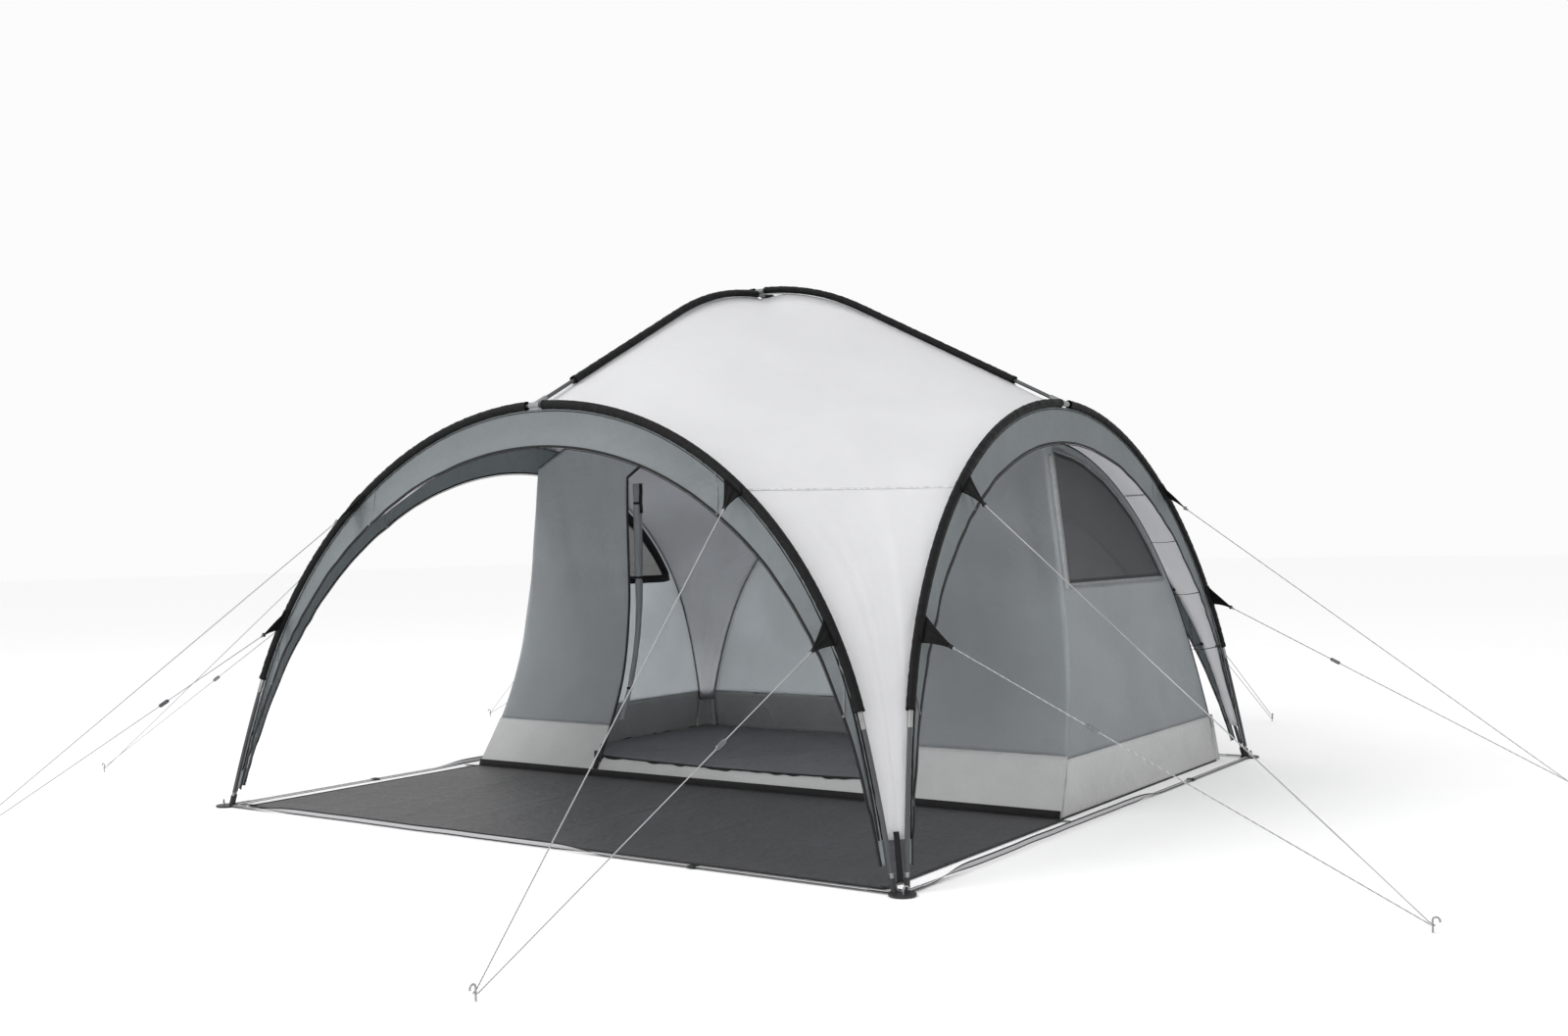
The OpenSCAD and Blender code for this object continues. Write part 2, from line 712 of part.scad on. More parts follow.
module leaning_sheet(k, out, thickness) {
    on_side(k) translate([0, 0, out]) linear_extrude(thickness) children();
}

module right_wall() {
    leaning_sheet(1, -inner_gap, inner_t) difference() {
        side_outline(tub_height + eps, arch_rise);
        window_outline(0);
    }
}

module inner_right_wall() {
    color("slategray") right_wall();
}

module inner_left_wall() {
    color("slategray") mirror([1, 0, 0]) right_wall();
}

module window_pane() {
    leaning_sheet(1, -inner_gap + 1, 2) window_outline(eps);
}

module window_mesh_right() {
    color("darkgray") window_pane();
}

module window_mesh_left() {
    color("darkgray") mirror([1, 0, 0]) window_pane();
}

module inner_rear_wall() {
    color("slategray") leaning_sheet(2, -inner_gap, inner_t) arch_outline(tub_height + eps, arch_rise);
}

module inner_ceiling() {
    grid = quarter_skin(parallel(inner_arcs, -3), -inner_gap, inner_foot_turn, inner_top);
    color("slategray") for (k = [1, 2]) rotate([0, 0, 90 * k]) skin(grid, inner_t);
}

floor_t = 3;

module inner_floor() {
    edge = inner_plane - 8;
    color("silver") {
        translate([-edge, -front_flare + 5, 0]) cube([2 * edge, edge + front_flare - 5, floor_t]);
        intersection() {
            front_sheet(floor_t + eps, tub_height);
            rotate([90, 0, 0]) translate([0, 0, -half]) linear_extrude(2 * half) difference() {
                front_outline(0, tub_height);
                doorway(threshold);
            }
        }
        leaning_sheet(1, -inner_gap, inner_t) side_outline(floor_t + eps, tub_height);
        mirror([1, 0, 0]) leaning_sheet(1, -inner_gap, inner_t) side_outline(floor_t + eps, tub_height);
        leaning_sheet(2, -inner_gap, inner_t) arch_outline(floor_t + eps, tub_height);
    }
}

roll_r = 24;
roll_x = -door_width / 2 + roll_r + 4;
roll_route = [
    [roll_x, 40 - flare(260), 260], [roll_x, 40 - flare(420), 420], [roll_x, 40 - flare(600), 600],
    [roll_x, 40, 860], [roll_x, 40, 1160], [roll_x, 40, 1460]
];

module door_roll() {
    color("slategray") sweep(roll_route, roll_r, 12, [0, 1, 0]);
}

slider_z = 1000;
slider_gap = 0.6;

// The zip's slider straddles the doorway's right-hand edge, with its puller in front.
module door_zip_slider() {
    color("black") translate([door_width / 2, inner_t / 2, slider_z]) {
        difference() {
            translate([-7, -5, -9]) cube([14, 10, 18]);
            translate([-1, -inner_t / 2 - slider_gap, -10]) cube([9, inner_t + 2 * slider_gap, 20]);
        }
        translate([-6, -6.6, -30]) cube([6, 1.8, 32]);
    }
}

hook_spots = [-1250, -850, -450, 450, 850, 1250];
hook_back = 12;
hook_gap = 6;
hook_drop = 30;
hook_bar = 22;
hook_bar_r = 3;
hook_loop_r = 2;

canopy_end = on_plane(0, at_turn(canopy_arcs, 0), skin_plane);
function canopy_ridge(x) = ridge_height(canopy_top, -canopy_end[1], canopy_end[2], x);

// Each hook: an elastic loop up from the inner roof's seam, and a toggle bar under the canopy.
module inner_hooks() {
    color("black") for (x = hook_spots) {
        low = ridge_inside(x) + hook_gap;
        bar = canopy_ridge(x) - hook_drop;
        translate([x, hook_back, low])
            cylinder(h = bar - hook_bar_r - eps - low, r = hook_loop_r, $fn = round_fn);
        translate([x, hook_back, bar]) rotate([0, 90, 0])
            cylinder(h = hook_bar, r = hook_bar_r, center = true, $fn = round_fn);
    }
}

arch_pole(0);  // arch_pole_front
arch_pole(1);  // arch_pole_right
arch_pole(2);  // arch_pole_rear
arch_pole(3);  // arch_pole_left
ridge_pole_side_to_side();
ridge_pole_front_to_rear();
pole_ferrules();
pole_shock_cords();
pole_tips();
apex_hubs();
peak_clip();
corner_feet();
corner_pegs();
corner_webbing();
ground_straps();
strap_adjuster(0);  // strap_adjuster_front
strap_adjuster(1);  // strap_adjuster_right
strap_adjuster(2);  // strap_adjuster_rear
strap_adjuster(3);  // strap_adjuster_left
canopy_panel(0);  // canopy_front_right
canopy_panel(1);  // canopy_rear_right
canopy_panel(2);  // canopy_rear_left
canopy_panel(3);  // canopy_front_left
arch_sleeves();
ridge_sleeves();
band(0);  // band_front
band(1);  // band_right
band(2);  // band_rear
band(3);  // band_left
band_zips();
guy_tabs();
guy_line(0, 1);  // line_front_right
guy_line(0, -1);  // line_front_left
guy_line(1, 1);  // line_right_rear
guy_line(1, -1);  // line_right_front
guy_line(2, 1);  // line_rear_left
guy_line(2, -1);  // line_rear_right
guy_line(3, 1);  // line_left_front
guy_line(3, -1);  // line_left_rear
line_runner(0, 1);  // runner_front_right
line_runner(0, -1);  // runner_front_left
line_runner(1, 1);  // runner_right_rear
line_runner(1, -1);  // runner_right_front
line_runner(2, 1);  // runner_rear_left
line_runner(2, -1);  // runner_rear_right
line_runner(3, 1);  // runner_left_front
line_runner(3, -1);  // runner_left_rear
guy_pegs();
groundsheet();
inner_floor();
inner_front_wall();
inner_rear_wall();
inner_left_wall();
inner_right_wall();
inner_ceiling();
window_mesh_left();
window_mesh_right();
door_roll();
door_zip_slider();
inner_hooks();
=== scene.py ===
"""Looks for the arched tarp shelter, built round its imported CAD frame. Everything is in metres."""

import math

import bpy
import numpy as np
from mathutils import Matrix, Vector


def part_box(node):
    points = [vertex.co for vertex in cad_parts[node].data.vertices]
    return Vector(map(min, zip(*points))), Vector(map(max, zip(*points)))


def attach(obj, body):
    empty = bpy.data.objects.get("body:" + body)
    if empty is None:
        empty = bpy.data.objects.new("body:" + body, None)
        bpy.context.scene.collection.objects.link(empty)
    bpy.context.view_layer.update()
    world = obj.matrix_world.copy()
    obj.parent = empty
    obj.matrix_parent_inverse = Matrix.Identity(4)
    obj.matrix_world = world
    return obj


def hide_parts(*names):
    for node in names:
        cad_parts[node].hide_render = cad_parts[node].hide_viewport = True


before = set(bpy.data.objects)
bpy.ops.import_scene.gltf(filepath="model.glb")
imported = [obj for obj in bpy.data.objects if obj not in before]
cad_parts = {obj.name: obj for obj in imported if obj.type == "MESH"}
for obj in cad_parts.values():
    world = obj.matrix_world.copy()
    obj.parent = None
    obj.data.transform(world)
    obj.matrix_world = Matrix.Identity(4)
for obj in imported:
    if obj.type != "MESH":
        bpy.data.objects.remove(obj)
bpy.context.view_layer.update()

# ---- sizes read from the frame ----

POLE_R = 0.008
CROSS = POLE_R + 0.0015            # each ridge pole's distance from the peak height
FOOT_R = 0.046
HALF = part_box("corner_feet")[1][0] - FOOT_R
arch_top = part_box("arch_pole_front")[1]
APEX_DIST = -(arch_top[1] - POLE_R)
APEX_HEIGHT = arch_top[2] - POLE_R
LEAN = math.atan2(HALF - APEX_DIST, APEX_HEIGHT)
RISE = math.hypot(HALF - APEX_DIST, APEX_HEIGHT)
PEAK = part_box("ridge_pole_side_to_side")[1][2] - POLE_R - CROSS
INNER_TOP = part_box("inner_ceiling")[1][2]
SHEET_LOW, SHEET_HIGH = (Vector(corner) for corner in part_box("groundsheet"))

# ---- sizes shared with the CAD model ----

ARCH_TURNS = (30, 72, 78)
SLEEVE_R = 0.018
SLEEVE_END = 71
HUB_TURN = 1.5
RIDGE_TURN = math.radians(27)
RIDGE_STOP = 0.024
RIDGE_SLEEVE_REACH = 1.335
PEAK_GAP = 0.032
SKIN_INSET = 0.024
SKIN_PLANE = -0.005
CORNER_HEIGHT = 0.170
BAND_INSET = 0.021
BAND_WIDTH = 0.150
BAND_END = 77
HEM_LIFT = 0.040
TAB_TURNS = (38.3, 61.2)
TAB_HALF = 0.052
LINE_D = 0.004
LINE_ROUTE = np.concatenate([
    np.linspace((1.030, -1.702, 1.262), (1.390, -3.268, 0.026), 7),
    [(1.390, -3.276, 0.022), (1.392, -3.282, 0.020), (1.398, -3.284, 0.020), (1.404, -3.282, 0.020),
     (1.406, -3.276, 0.022)],
    np.linspace((1.406, -3.268, 0.026), (1.436, -1.774, 0.776), 7),
])
LINES = {
    "front_right": (0, 1), "front_left": (0, -1), "right_rear": (1, 1), "right_front": (1, -1),
    "rear_left": (2, 1), "rear_right": (2, -1), "left_front": (3, 1), "left_rear": (3, -1),
}
SIDES = ("front", "right", "rear", "left")
INNER_GAP = 0.110
FLARE = 0.300
FLARE_HEIGHT = 0.900
TUB = 0.230
THRESHOLD = 0.090
DOOR_HALF = 0.850
DOOR_R = 1.430
DOOR_TOP = 1.760
INNER_END = 74.6
INNER_RISE = 1.575
WINDOW_SILL = 0.950
WINDOW_FRONT = 0.070
WINDOW_EDGE = 0.040

# ---- sizes of the visual pieces alone ----

CLOTH_T = 0.0012
WELD_GAP = 0.0004
ROOF_GAP = 0.004                   # the inner front wall stops this far under the inner roof
CANOPY_SEAM = 1.330
WINDOW_CELLS = slice(8, 38)
TIE_HEIGHTS = (1.12, 0.86, 0.58)
HOOK_PLACES = (-1.25, -0.85, -0.45, 0.45, 0.85, 1.25)
ROLL_TIES = (0.42, 0.97, 1.36)
ROLL_TURNS = 27
HEART = 0.5                        # height of a point inside the shelter that outer faces look away from
LOW_HEART = 0.4                    # the same for the bands' hems and the inner roof's seams
RIGHT, BACK, UP = np.eye(3)


# ---- arcs, planes and points ----

def three_arcs(span, rise, turns, middle):
    """Crown, shoulder and leg arcs, tangent to each other: (radius, from, to, centre u, centre w)."""
    a, b, c = (math.radians(t) for t in turns)
    m = np.array([[math.sin(a), math.sin(c) - math.sin(b)], [1 - math.cos(a), math.cos(b) - math.cos(c)]])
    v = np.array([span - middle * (math.sin(b) - math.sin(a)), rise - middle * (math.cos(a) - math.cos(b))])
    r1, r3 = np.linalg.solve(m, v)
    u2 = (r1 - middle) * math.sin(a)
    w2 = rise - r1 + (r1 - middle) * math.cos(a)
    u3 = u2 + (middle - r3) * math.sin(b)
    w3 = w2 + (middle - r3) * math.cos(b)
    return np.array([[r1, 0, turns[0], 0, rise - r1], [middle, turns[0], turns[1], u2, w2],
                     [r3, turns[1], turns[2], u3, w3]])


def parallel(arcs, inset):
    return arcs - np.array([inset, 0, 0, 0, 0])


def at_turn(arcs, turn):
    """Points (u, w) of an arch at signed turns in degrees; 0 is the crown."""
    turn = np.asarray(turn, float)
    size = np.abs(turn)
    arc = arcs[(size > arcs[0, 2]).astype(int) + (size > arcs[1, 2]).astype(int)]
    u = arc[..., 3] + arc[..., 0] * np.sin(np.radians(size))
    w = arc[..., 4] + arc[..., 0] * np.cos(np.radians(size))
    return np.stack([np.where(turn < 0, -u, u), w], -1)


def even_turns(arcs, start, stop, count):
    """Turns from start to stop that are evenly spaced along the arch."""
    dense = np.linspace(start, stop, 900)
    run = lengths(at_turn(arcs, dense))
    return np.interp(np.linspace(0, run[-1], count), run, dense)


def lengths(points):
    """Distance along a line of points, at each point."""
    return np.concatenate([[0], np.cumsum(np.linalg.norm(np.diff(points, axis=0), axis=-1))])


def unit(v):
    return v / np.maximum(np.linalg.norm(v, axis=-1, keepdims=True), 1e-12)


def swing(angle, a, b):
    """Directions swung from a towards b by each angle."""
    return np.cos(angle)[:, None] * a + np.sin(angle)[:, None] * b


def faced_out(vectors, points, heart):
    """Vectors flipped where they do not point away from the axis point at height heart."""
    return vectors * np.sign((vectors * (points - heart * UP)).sum(-1))[:, None]


def turned(points, k):
    """Points turned k quarter turns about the vertical axis."""
    points = np.asarray(points, float)
    for _ in range(k % 4):
        points = np.stack([-points[..., 1], points[..., 0], points[..., 2]], -1)
    return points


def on_plane(k, p, out=0.0):
    """Points (u, w) of side k's arch plane, moved out from that plane."""
    s, c = math.sin(LEAN), math.cos(LEAN)
    u, w = p[..., 0], p[..., 1]
    return turned(np.stack([u, -HALF + w * s - out * c, w * c + out * s], -1), k)


def plane_normal(k):
    return turned([0.0, -math.cos(LEAN), math.sin(LEAN)], k)


def ridge_height(top, reach, end, x):
    """Height of a ridge line that bends over its peak and runs straight down to the point (reach, end)."""
    s, c = math.sin(RIDGE_TURN), math.cos(RIDGE_TURN)
    r = ((top - end) * c - s * reach) / (c * (1 - c) - s * s)
    d = np.abs(x)
    crown = top - r + np.sqrt(np.maximum(r * r - d * d, 0))
    return np.where(d <= r * s, crown, top - r * (1 - c) - (d - r * s) * s / c)


def step(edge0, edge1, x):
    t = np.clip((x - edge0) / (edge1 - edge0), 0, 1)
    return t * t * (3 - 2 * t)


def ripple(x, period, seed):
    """A smooth wandering wave of x, about -1 to 1, that never quite repeats."""
    rng = np.random.default_rng(seed)
    total = np.zeros_like(np.asarray(x, float))
    for share in (1.0, 0.63, 0.41, 0.27):
        total += math.sqrt(share) * np.sin(2 * np.pi * x / (period * share) + rng.uniform(0, 2 * np.pi))
    return total / 2.2


ARCH = three_arcs(HALF - 0.030, RISE, ARCH_TURNS, 1.700)
HEM = three_arcs(HALF - 0.078, RISE - BAND_WIDTH - BAND_INSET - HEM_LIFT, (35, 60, 78), 1.600)
HEM[:, 4] += HEM_LIFT
INNER = three_arcs(HALF - 0.150, INNER_RISE, (32, 64, 78), 1.560)
CANOPY = parallel(ARCH, SKIN_INSET)
SKIN_END = math.degrees(math.acos(math.cos(math.radians(ARCH_TURNS[2])) + CORNER_HEIGHT / ARCH[2, 0]))
RIDGE_REACH = APEX_DIST - RIDGE_STOP
RIDGE_END = APEX_HEIGHT + RIDGE_STOP * math.tan(RIDGE_TURN)


# ---- mesh parts: (points, faces, measured uv for each point) ----

def grid_faces(rows, columns, ring=False, keep=None):
    """The faces of a grid of points. ring joins its last column to its first, and keep picks its cells."""
    faces = []
    for low in range(0, (rows - 1) * columns, columns):
        high = low + columns
        for i in range(columns if ring else columns - 1):
            if keep is None or keep[low // columns, i]:
                after = (i + 1) % columns
                faces.append((low + i, low + after, high + after, high + i))
    return faces


def sheet_part(points, keep=None):
    """A grid of points as one sheet. keep picks its cells."""
    rows, columns = points.shape[:2]
    run_across = np.cumsum(np.linalg.norm(np.diff(points, axis=1, prepend=points[:, :1]), axis=-1), axis=1)
    run_up = np.cumsum(np.linalg.norm(np.diff(points, axis=0, prepend=points[:1]), axis=-1), axis=0)
    uv = np.stack([run_across - run_across[:, columns // 2, None], run_up], -1).reshape(-1, 2)
    return points.reshape(-1, 3), grid_faces(rows, columns, keep=keep), uv


def swept_part(path, profile, hint, caps=True):
    """A closed profile of (side, up) points carried along a path. up is near hint at each point."""
    path = np.asarray(path, float)
    tangent = unit(np.gradient(path, axis=0))
    hint = np.broadcast_to(np.asarray(hint, float), path.shape)
    side = unit(np.cross(tangent, hint))
    up = np.cross(side, tangent)
    profile = np.broadcast_to(profile, (len(path),) + np.shape(profile)[-2:])
    points = path[:, None] + side[:, None] * profile[..., :1] + up[:, None] * profile[..., 1:]
    count = points.shape[1]
    around = lengths(np.concatenate([profile[0], profile[0][:1]]))[:count]
    uv = np.stack(np.broadcast_arrays(lengths(path)[:, None], around[None]), -1).reshape(-1, 2)
    faces = grid_faces(len(path), count, ring=True)
    if caps:
        faces.append(tuple(range(count - 1, -1, -1)))
        faces.append(tuple(range((len(path) - 1) * count, len(path) * count)))
    return points.reshape(-1, 3), faces, uv


def circle(radius, sides):
    angle = 2 * np.pi * np.arange(sides) / sides
    return radius * np.stack([np.cos(angle), np.sin(angle)], -1)


def tape(width, thickness):
    """A flat tape's section, with slightly rounded edges."""
    w, t = width / 2, thickness / 2
    edge = min(t, 0.15 * w)
    return np.array([(-w, 0), (-w + edge, -t), (w - edge, -t), (w, 0), (w - edge, t), (-w + edge, t)])


def taped(path, width, thickness, hint, caps=True):
    return swept_part(path, tape(width, thickness), hint, caps)


def box_parts(centres, axes, sizes):
    """Small boxes: one for each centre, with its own three axes, all of one size."""
    corners = np.array([(x, y, z) for z in (-1, 1) for y in (-1, 1) for x in (-1, 1)]) * np.array(sizes) / 2
    points = (centres[:, None] + np.einsum("nab,cb->nca", axes, corners)).reshape(-1, 3)
    sides = ((0, 2, 3, 1), (4, 5, 7, 6), (0, 1, 5, 4), (2, 6, 7, 3), (0, 4, 6, 2), (1, 3, 7, 5))
    faces = [tuple(8 * n + i for i in f) for n in range(len(centres)) for f in sides]
    return points, faces, points[:, :2].copy()


def part_turned(part, k, mirrored=False):
    points, faces, uv = part
    if mirrored:
        points = points * np.array([-1, 1, 1])
        faces = [f[::-1] for f in faces]
    return turned(points, k), faces, uv


def build(name, parts, weld=False):
    """One mesh object from parts, smooth, with its measured uv layer."""
    points, faces, uvs, base = [], [], [], 0
    for p, f, uv in parts:
        points.append(p)
        faces += [tuple(i + base for i in face) for face in f]
        uvs.append(uv)
        base += len(p)
    points, uvs = np.concatenate(points), np.concatenate(uvs)
    mesh = bpy.data.meshes.new(name)
    mesh.from_pydata(points.tolist(), [], faces)
    layer = mesh.uv_layers.new(name="cloth")
    corners = np.empty(len(mesh.loops), int)
    mesh.loops.foreach_get("vertex_index", corners)
    layer.data.foreach_set("uv", uvs[corners].ravel())
    mesh.shade_smooth()
    obj = bpy.data.objects.new(name, mesh)
    bpy.context.scene.collection.objects.link(obj)
    if weld:
        modified(obj, "WELD", merge_threshold=WELD_GAP)
    return obj


def modified(obj, kind, **settings):
    """Adds one modifier to a piece and applies it."""
    add = obj.modifiers.new(kind.lower(), kind)
    for key, value in settings.items():
        setattr(add, key, value)
    graph = bpy.context.evaluated_depsgraph_get()
    mesh = bpy.data.meshes.new_from_object(obj.evaluated_get(graph))
    obj.modifiers.clear()
    obj.data = mesh


def thicken(obj, thickness=CLOTH_T, offset=0.0):
    modified(obj, "SOLIDIFY", thickness=thickness, offset=offset, use_even_offset=False)


def area_of(obj):
    graph = bpy.context.evaluated_depsgraph_get()
    mesh = obj.evaluated_get(graph).to_mesh()
    return sum(f.area for f in mesh.polygons)


def piece(obj, material, slot, *nodes):
    """Gives a new piece its material, rides it on the shelter, and stands it for CAD nodes; slot is not
    used.
    """
    obj.data.materials.append(material)
    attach(obj, "shelter")
    if nodes:
        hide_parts(*nodes)
    return obj


def cloth(obj, area=None):
    """Gives a sheet its thickness; area is not used."""
    thicken(obj)


# ---- materials ----

DUST = (0.23, 0.20, 0.16)
BARE_METAL = (0.32, 0.31, 0.30)


def scaled(colour, factor, lift=0.0):
    return tuple(min(1.0, c * factor + lift) for c in colour)


class Finish:
    """A Principled material and short calls for the nodes that drive it."""

    def __init__(self, name, roughness=0.6, metallic=0.0, **sockets):
        self.material = bpy.data.materials.new(name)
        self.material.use_nodes = True
        self.tree = self.material.node_tree
        self.shader = next(n for n in self.tree.nodes if n.type == "BSDF_PRINCIPLED")
        self.shader.inputs["Roughness"].default_value = roughness
        self.shader.inputs["Metallic"].default_value = metallic
        for socket, value in sockets.items():
            self.shader.inputs[socket.replace("_", " ")].default_value = value

    def add(self, kind, inputs=(), **settings):
        node = self.tree.nodes.new(kind)
        for key, value in settings.items():
            setattr(node, key, value)
        for key, value in dict(inputs).items():
            if isinstance(value, bpy.types.NodeSocket):
                self.tree.links.new(value, node.inputs[key])
            else:
                node.inputs[key].default_value = value
        return node

    def link(self, output, socket):
        self.tree.links.new(output, self.shader.inputs[socket])

    def math(self, operation, a, b=0.0, c=0.0):
        return self.add("ShaderNodeMath", {0: a, 1: b, 2: c}, operation=operation).outputs[0]

    def place(self):
        return self.add("ShaderNodeNewGeometry").outputs["Position"]

    def wave(self, value, pitch):
        return self.math("SINE", self.math("MULTIPLY", value, 2 * math.pi / pitch))

    def cloth_uv(self):
        """The measured coordinates: across and up a sheet, or along and round a swept piece."""
        uv = self.add("ShaderNodeUVMap", uv_map="cloth").outputs["UV"]
        return self.add("ShaderNodeSeparateXYZ", {0: uv}).outputs

    def show_mix(self, share, first, second):
        """Shows a mix of two shaders. share is the second one's."""
        both = self.add("ShaderNodeMixShader", {0: share, 1: first.outputs[0], 2: second.outputs[0]})
        out = next(n for n in self.tree.nodes if n.type == "OUTPUT_MATERIAL")
        self.tree.links.new(both.outputs[0], out.inputs["Surface"])

    def noise(self, vector, scale, detail=4.0, rough=0.55, warp=0.0):
        return self.add("ShaderNodeTexNoise", {"Vector": vector, "Scale": scale, "Detail": detail,
                                               "Roughness": rough, "Distortion": warp}).outputs["Fac"]

    def spread(self, value, low, high, to_low=0.0, to_high=1.0):
        return self.add("ShaderNodeMapRange", {"Value": value, "From Min": low, "From Max": high,
                                               "To Min": to_low, "To Max": to_high}).outputs["Result"]

    def mix(self, factor, a, b, blend="MIX"):
        node = self.add("ShaderNodeMix", data_type="RGBA", blend_type=blend)
        for index, value in ((0, factor), (6, a), (7, b)):
            if isinstance(value, bpy.types.NodeSocket):
                self.tree.links.new(value, node.inputs[index])
            else:
                node.inputs[index].default_value = value if index == 0 else (*value, 1.0)[:4]
        return node.outputs[2]

    def bump(self, height, strength, distance, below=None):
        node = self.add("ShaderNodeBump", {"Height": height, "Strength": strength, "Distance": distance})
        if below is not None:
            self.tree.links.new(below, node.inputs["Normal"])
        return node.outputs["Normal"]

    def dashes(self, run, across, at, pitch=0.0042, width=0.0007):
        """1 on a row of stitches that runs at one distance across the cloth."""
        along = self.math("LESS_THAN", self.math("FRACT", self.math("DIVIDE", run, pitch)), 0.62)
        near = self.math("LESS_THAN", self.math("ABSOLUTE", self.math("SUBTRACT", across, at)), width)
        return self.math("MULTIPLY", along, near)


def threads(finish, uv, pitch):
    """A plain weave's height from the cloth's measured coordinates."""
    return finish.math("MULTIPLY", finish.wave(uv[0], pitch), finish.wave(uv[1], pitch))


def polyester(name, colour, roughness, crease, mottle, rib=0.0, soil=0.0, glow=0.0, through=1.0, **sockets):
    """Coated woven tent cloth: weave, optional ripstop ribs, soft creases, and dust near the ground."""
    f = Finish(name, roughness, **sockets)
    uv = f.cloth_uv()
    place = f.place()
    broad = f.noise(place, 2.2, 3.0, 0.5, 0.4)
    fine = f.noise(place, 46.0, 5.0, 0.6)
    dark = scaled(colour, 1 - 2.2 * mottle)
    shade = f.mix(f.spread(broad, 0.3, 0.7), dark, scaled(colour, 1 + mottle))
    shade = f.mix(f.spread(fine, 0.25, 0.75, 0.0, 0.35 * mottle / 0.05), shade, dark)
    height = f.math("MULTIPLY", threads(f, uv, 0.0016), 0.5)
    if rib:
        lines = [f.math("GREATER_THAN", f.math("FRACT", f.math("DIVIDE", run, rib)), 0.9) for run in uv[:2]]
        grid = f.math("MAXIMUM", *lines)
        shade = f.mix(f.math("MULTIPLY", grid, 0.07), shade, scaled(colour, 0.6))
        height = f.math("ADD", height, grid)
    if soil:
        high = f.add("ShaderNodeSeparateXYZ", {0: place}).outputs[2]
        edge = f.math("ADD", high, f.spread(f.noise(place, 9.0, 5.0), 0.3, 0.7, -0.05, 0.05))
        shade = f.mix(f.spread(edge, 0.0, 0.16, soil, 0.0), shade, DUST)
    f.link(shade, "Base Color")
    f.link(f.spread(fine, 0.2, 0.8, roughness - 0.07, roughness + 0.09), "Roughness")
    folds = f.noise(place, 7.5, 6.0, 0.62, 1.4)
    soft = f.bump(folds, crease, 0.03)
    f.link(f.bump(height, 0.35, 0.00025, soft), "Normal")
    if glow:
        lit = f.mix(1.0, shade, (through, through, through), "MULTIPLY")
        cloth_light = f.add("ShaderNodeBsdfTranslucent", {"Color": lit, "Normal": soft})
        f.show_mix(glow, f.shader, cloth_light)
    return f.material


def webbing(name, colour, width, rib=0.0022, roughness=0.68, thread=2.5, stripe=None):
    """Woven strap: ribs, an optional pale centre stripe, and a row of stitches near each edge."""
    f = Finish(name, roughness, Sheen_Weight=0.08, Specular_IOR_Level=0.2)
    uv = f.cloth_uv()
    run, across = uv[:2]
    height = f.math("MULTIPLY", f.wave(run, rib), f.wave(across, rib * 0.8))
    stitches = f.math("MAXIMUM", f.dashes(run, across, 0.1 * width), f.dashes(run, across, 0.9 * width))
    worn = f.noise(f.place(), 60.0, 6.0, 0.7)
    shade = f.mix(f.spread(worn, 0.3, 0.75), scaled(colour, 0.7), scaled(colour, 1.5))
    if stripe:
        off_edge = f.math("ABSOLUTE", f.math("SUBTRACT", f.math("PINGPONG", across, width), width / 2))
        shade = f.mix(f.spread(off_edge, 0.26 * width, 0.30 * width, 1.0, 0.0), shade, stripe)
    shade = f.mix(f.math("MULTIPLY", stitches, 0.5), shade, scaled(colour, thread))
    f.link(shade, "Base Color")
    f.link(f.spread(worn, 0.2, 0.8, roughness - 0.08, roughness + 0.1), "Roughness")
    f.link(f.bump(f.math("ADD", height, stitches), 0.5, 0.0004), "Normal")
    return f.material


def metal(name, colour, roughness):
    """Drawn steel or alloy: fine scratches, smudges and dull patches."""
    f = Finish(name, roughness, 1.0)
    place = f.place()
    smudge = f.noise(place, 18.0, 6.0, 0.65)
    lines = f.noise(place, 420.0, 2.0, 0.5)
    shade = f.mix(f.spread(smudge, 0.3, 0.75), colour, scaled(colour, 0.72))
    f.link(shade, "Base Color")
    f.link(f.spread(f.math("ADD", smudge, f.math("MULTIPLY", lines, 0.12)), 0.3, 0.85,
                    roughness - 0.1, roughness + 0.2), "Roughness")
    f.link(f.bump(lines, 0.15, 0.0003), "Normal")
    return f.material


def painted(name, colour, roughness):
    """Powder-coated steel tube: an orange-peel coat with small rubbed spots."""
    f = Finish(name, roughness, 0.35)
    place = f.place()
    peel = f.noise(place, 900.0, 2.0)
    rub = f.noise(place, 34.0, 8.0, 0.75)
    spots = f.spread(rub, 0.66, 0.7)
    shade = f.mix(f.spread(f.noise(place, 5.0, 3.0), 0.3, 0.7), colour, scaled(colour, 0.8))
    f.link(f.mix(f.math("MULTIPLY", spots, 0.6), shade, BARE_METAL), "Base Color")
    f.link(f.spread(rub, 0.3, 0.8, roughness - 0.08, roughness + 0.12), "Roughness")
    f.link(f.bump(peel, 0.2, 0.0002), "Normal")
    return f.material


def plastic(name, colour, roughness):
    """Moulded nylon: a fine spark-eroded grain and slightly paler scuffs."""
    f = Finish(name, roughness)
    place = f.place()
    scuff = f.noise(place, 70.0, 7.0, 0.7)
    grain = f.noise(place, 1500.0, 2.0)
    shade = f.mix(f.spread(scuff, 0.55, 0.75, 0.0, 0.5), colour, scaled(colour, 1.8, 0.03))
    f.link(shade, "Base Color")
    f.link(f.spread(scuff, 0.3, 0.8, roughness - 0.06, roughness + 0.14), "Roughness")
    f.link(f.bump(grain, 0.25, 0.00015), "Normal")
    return f.material


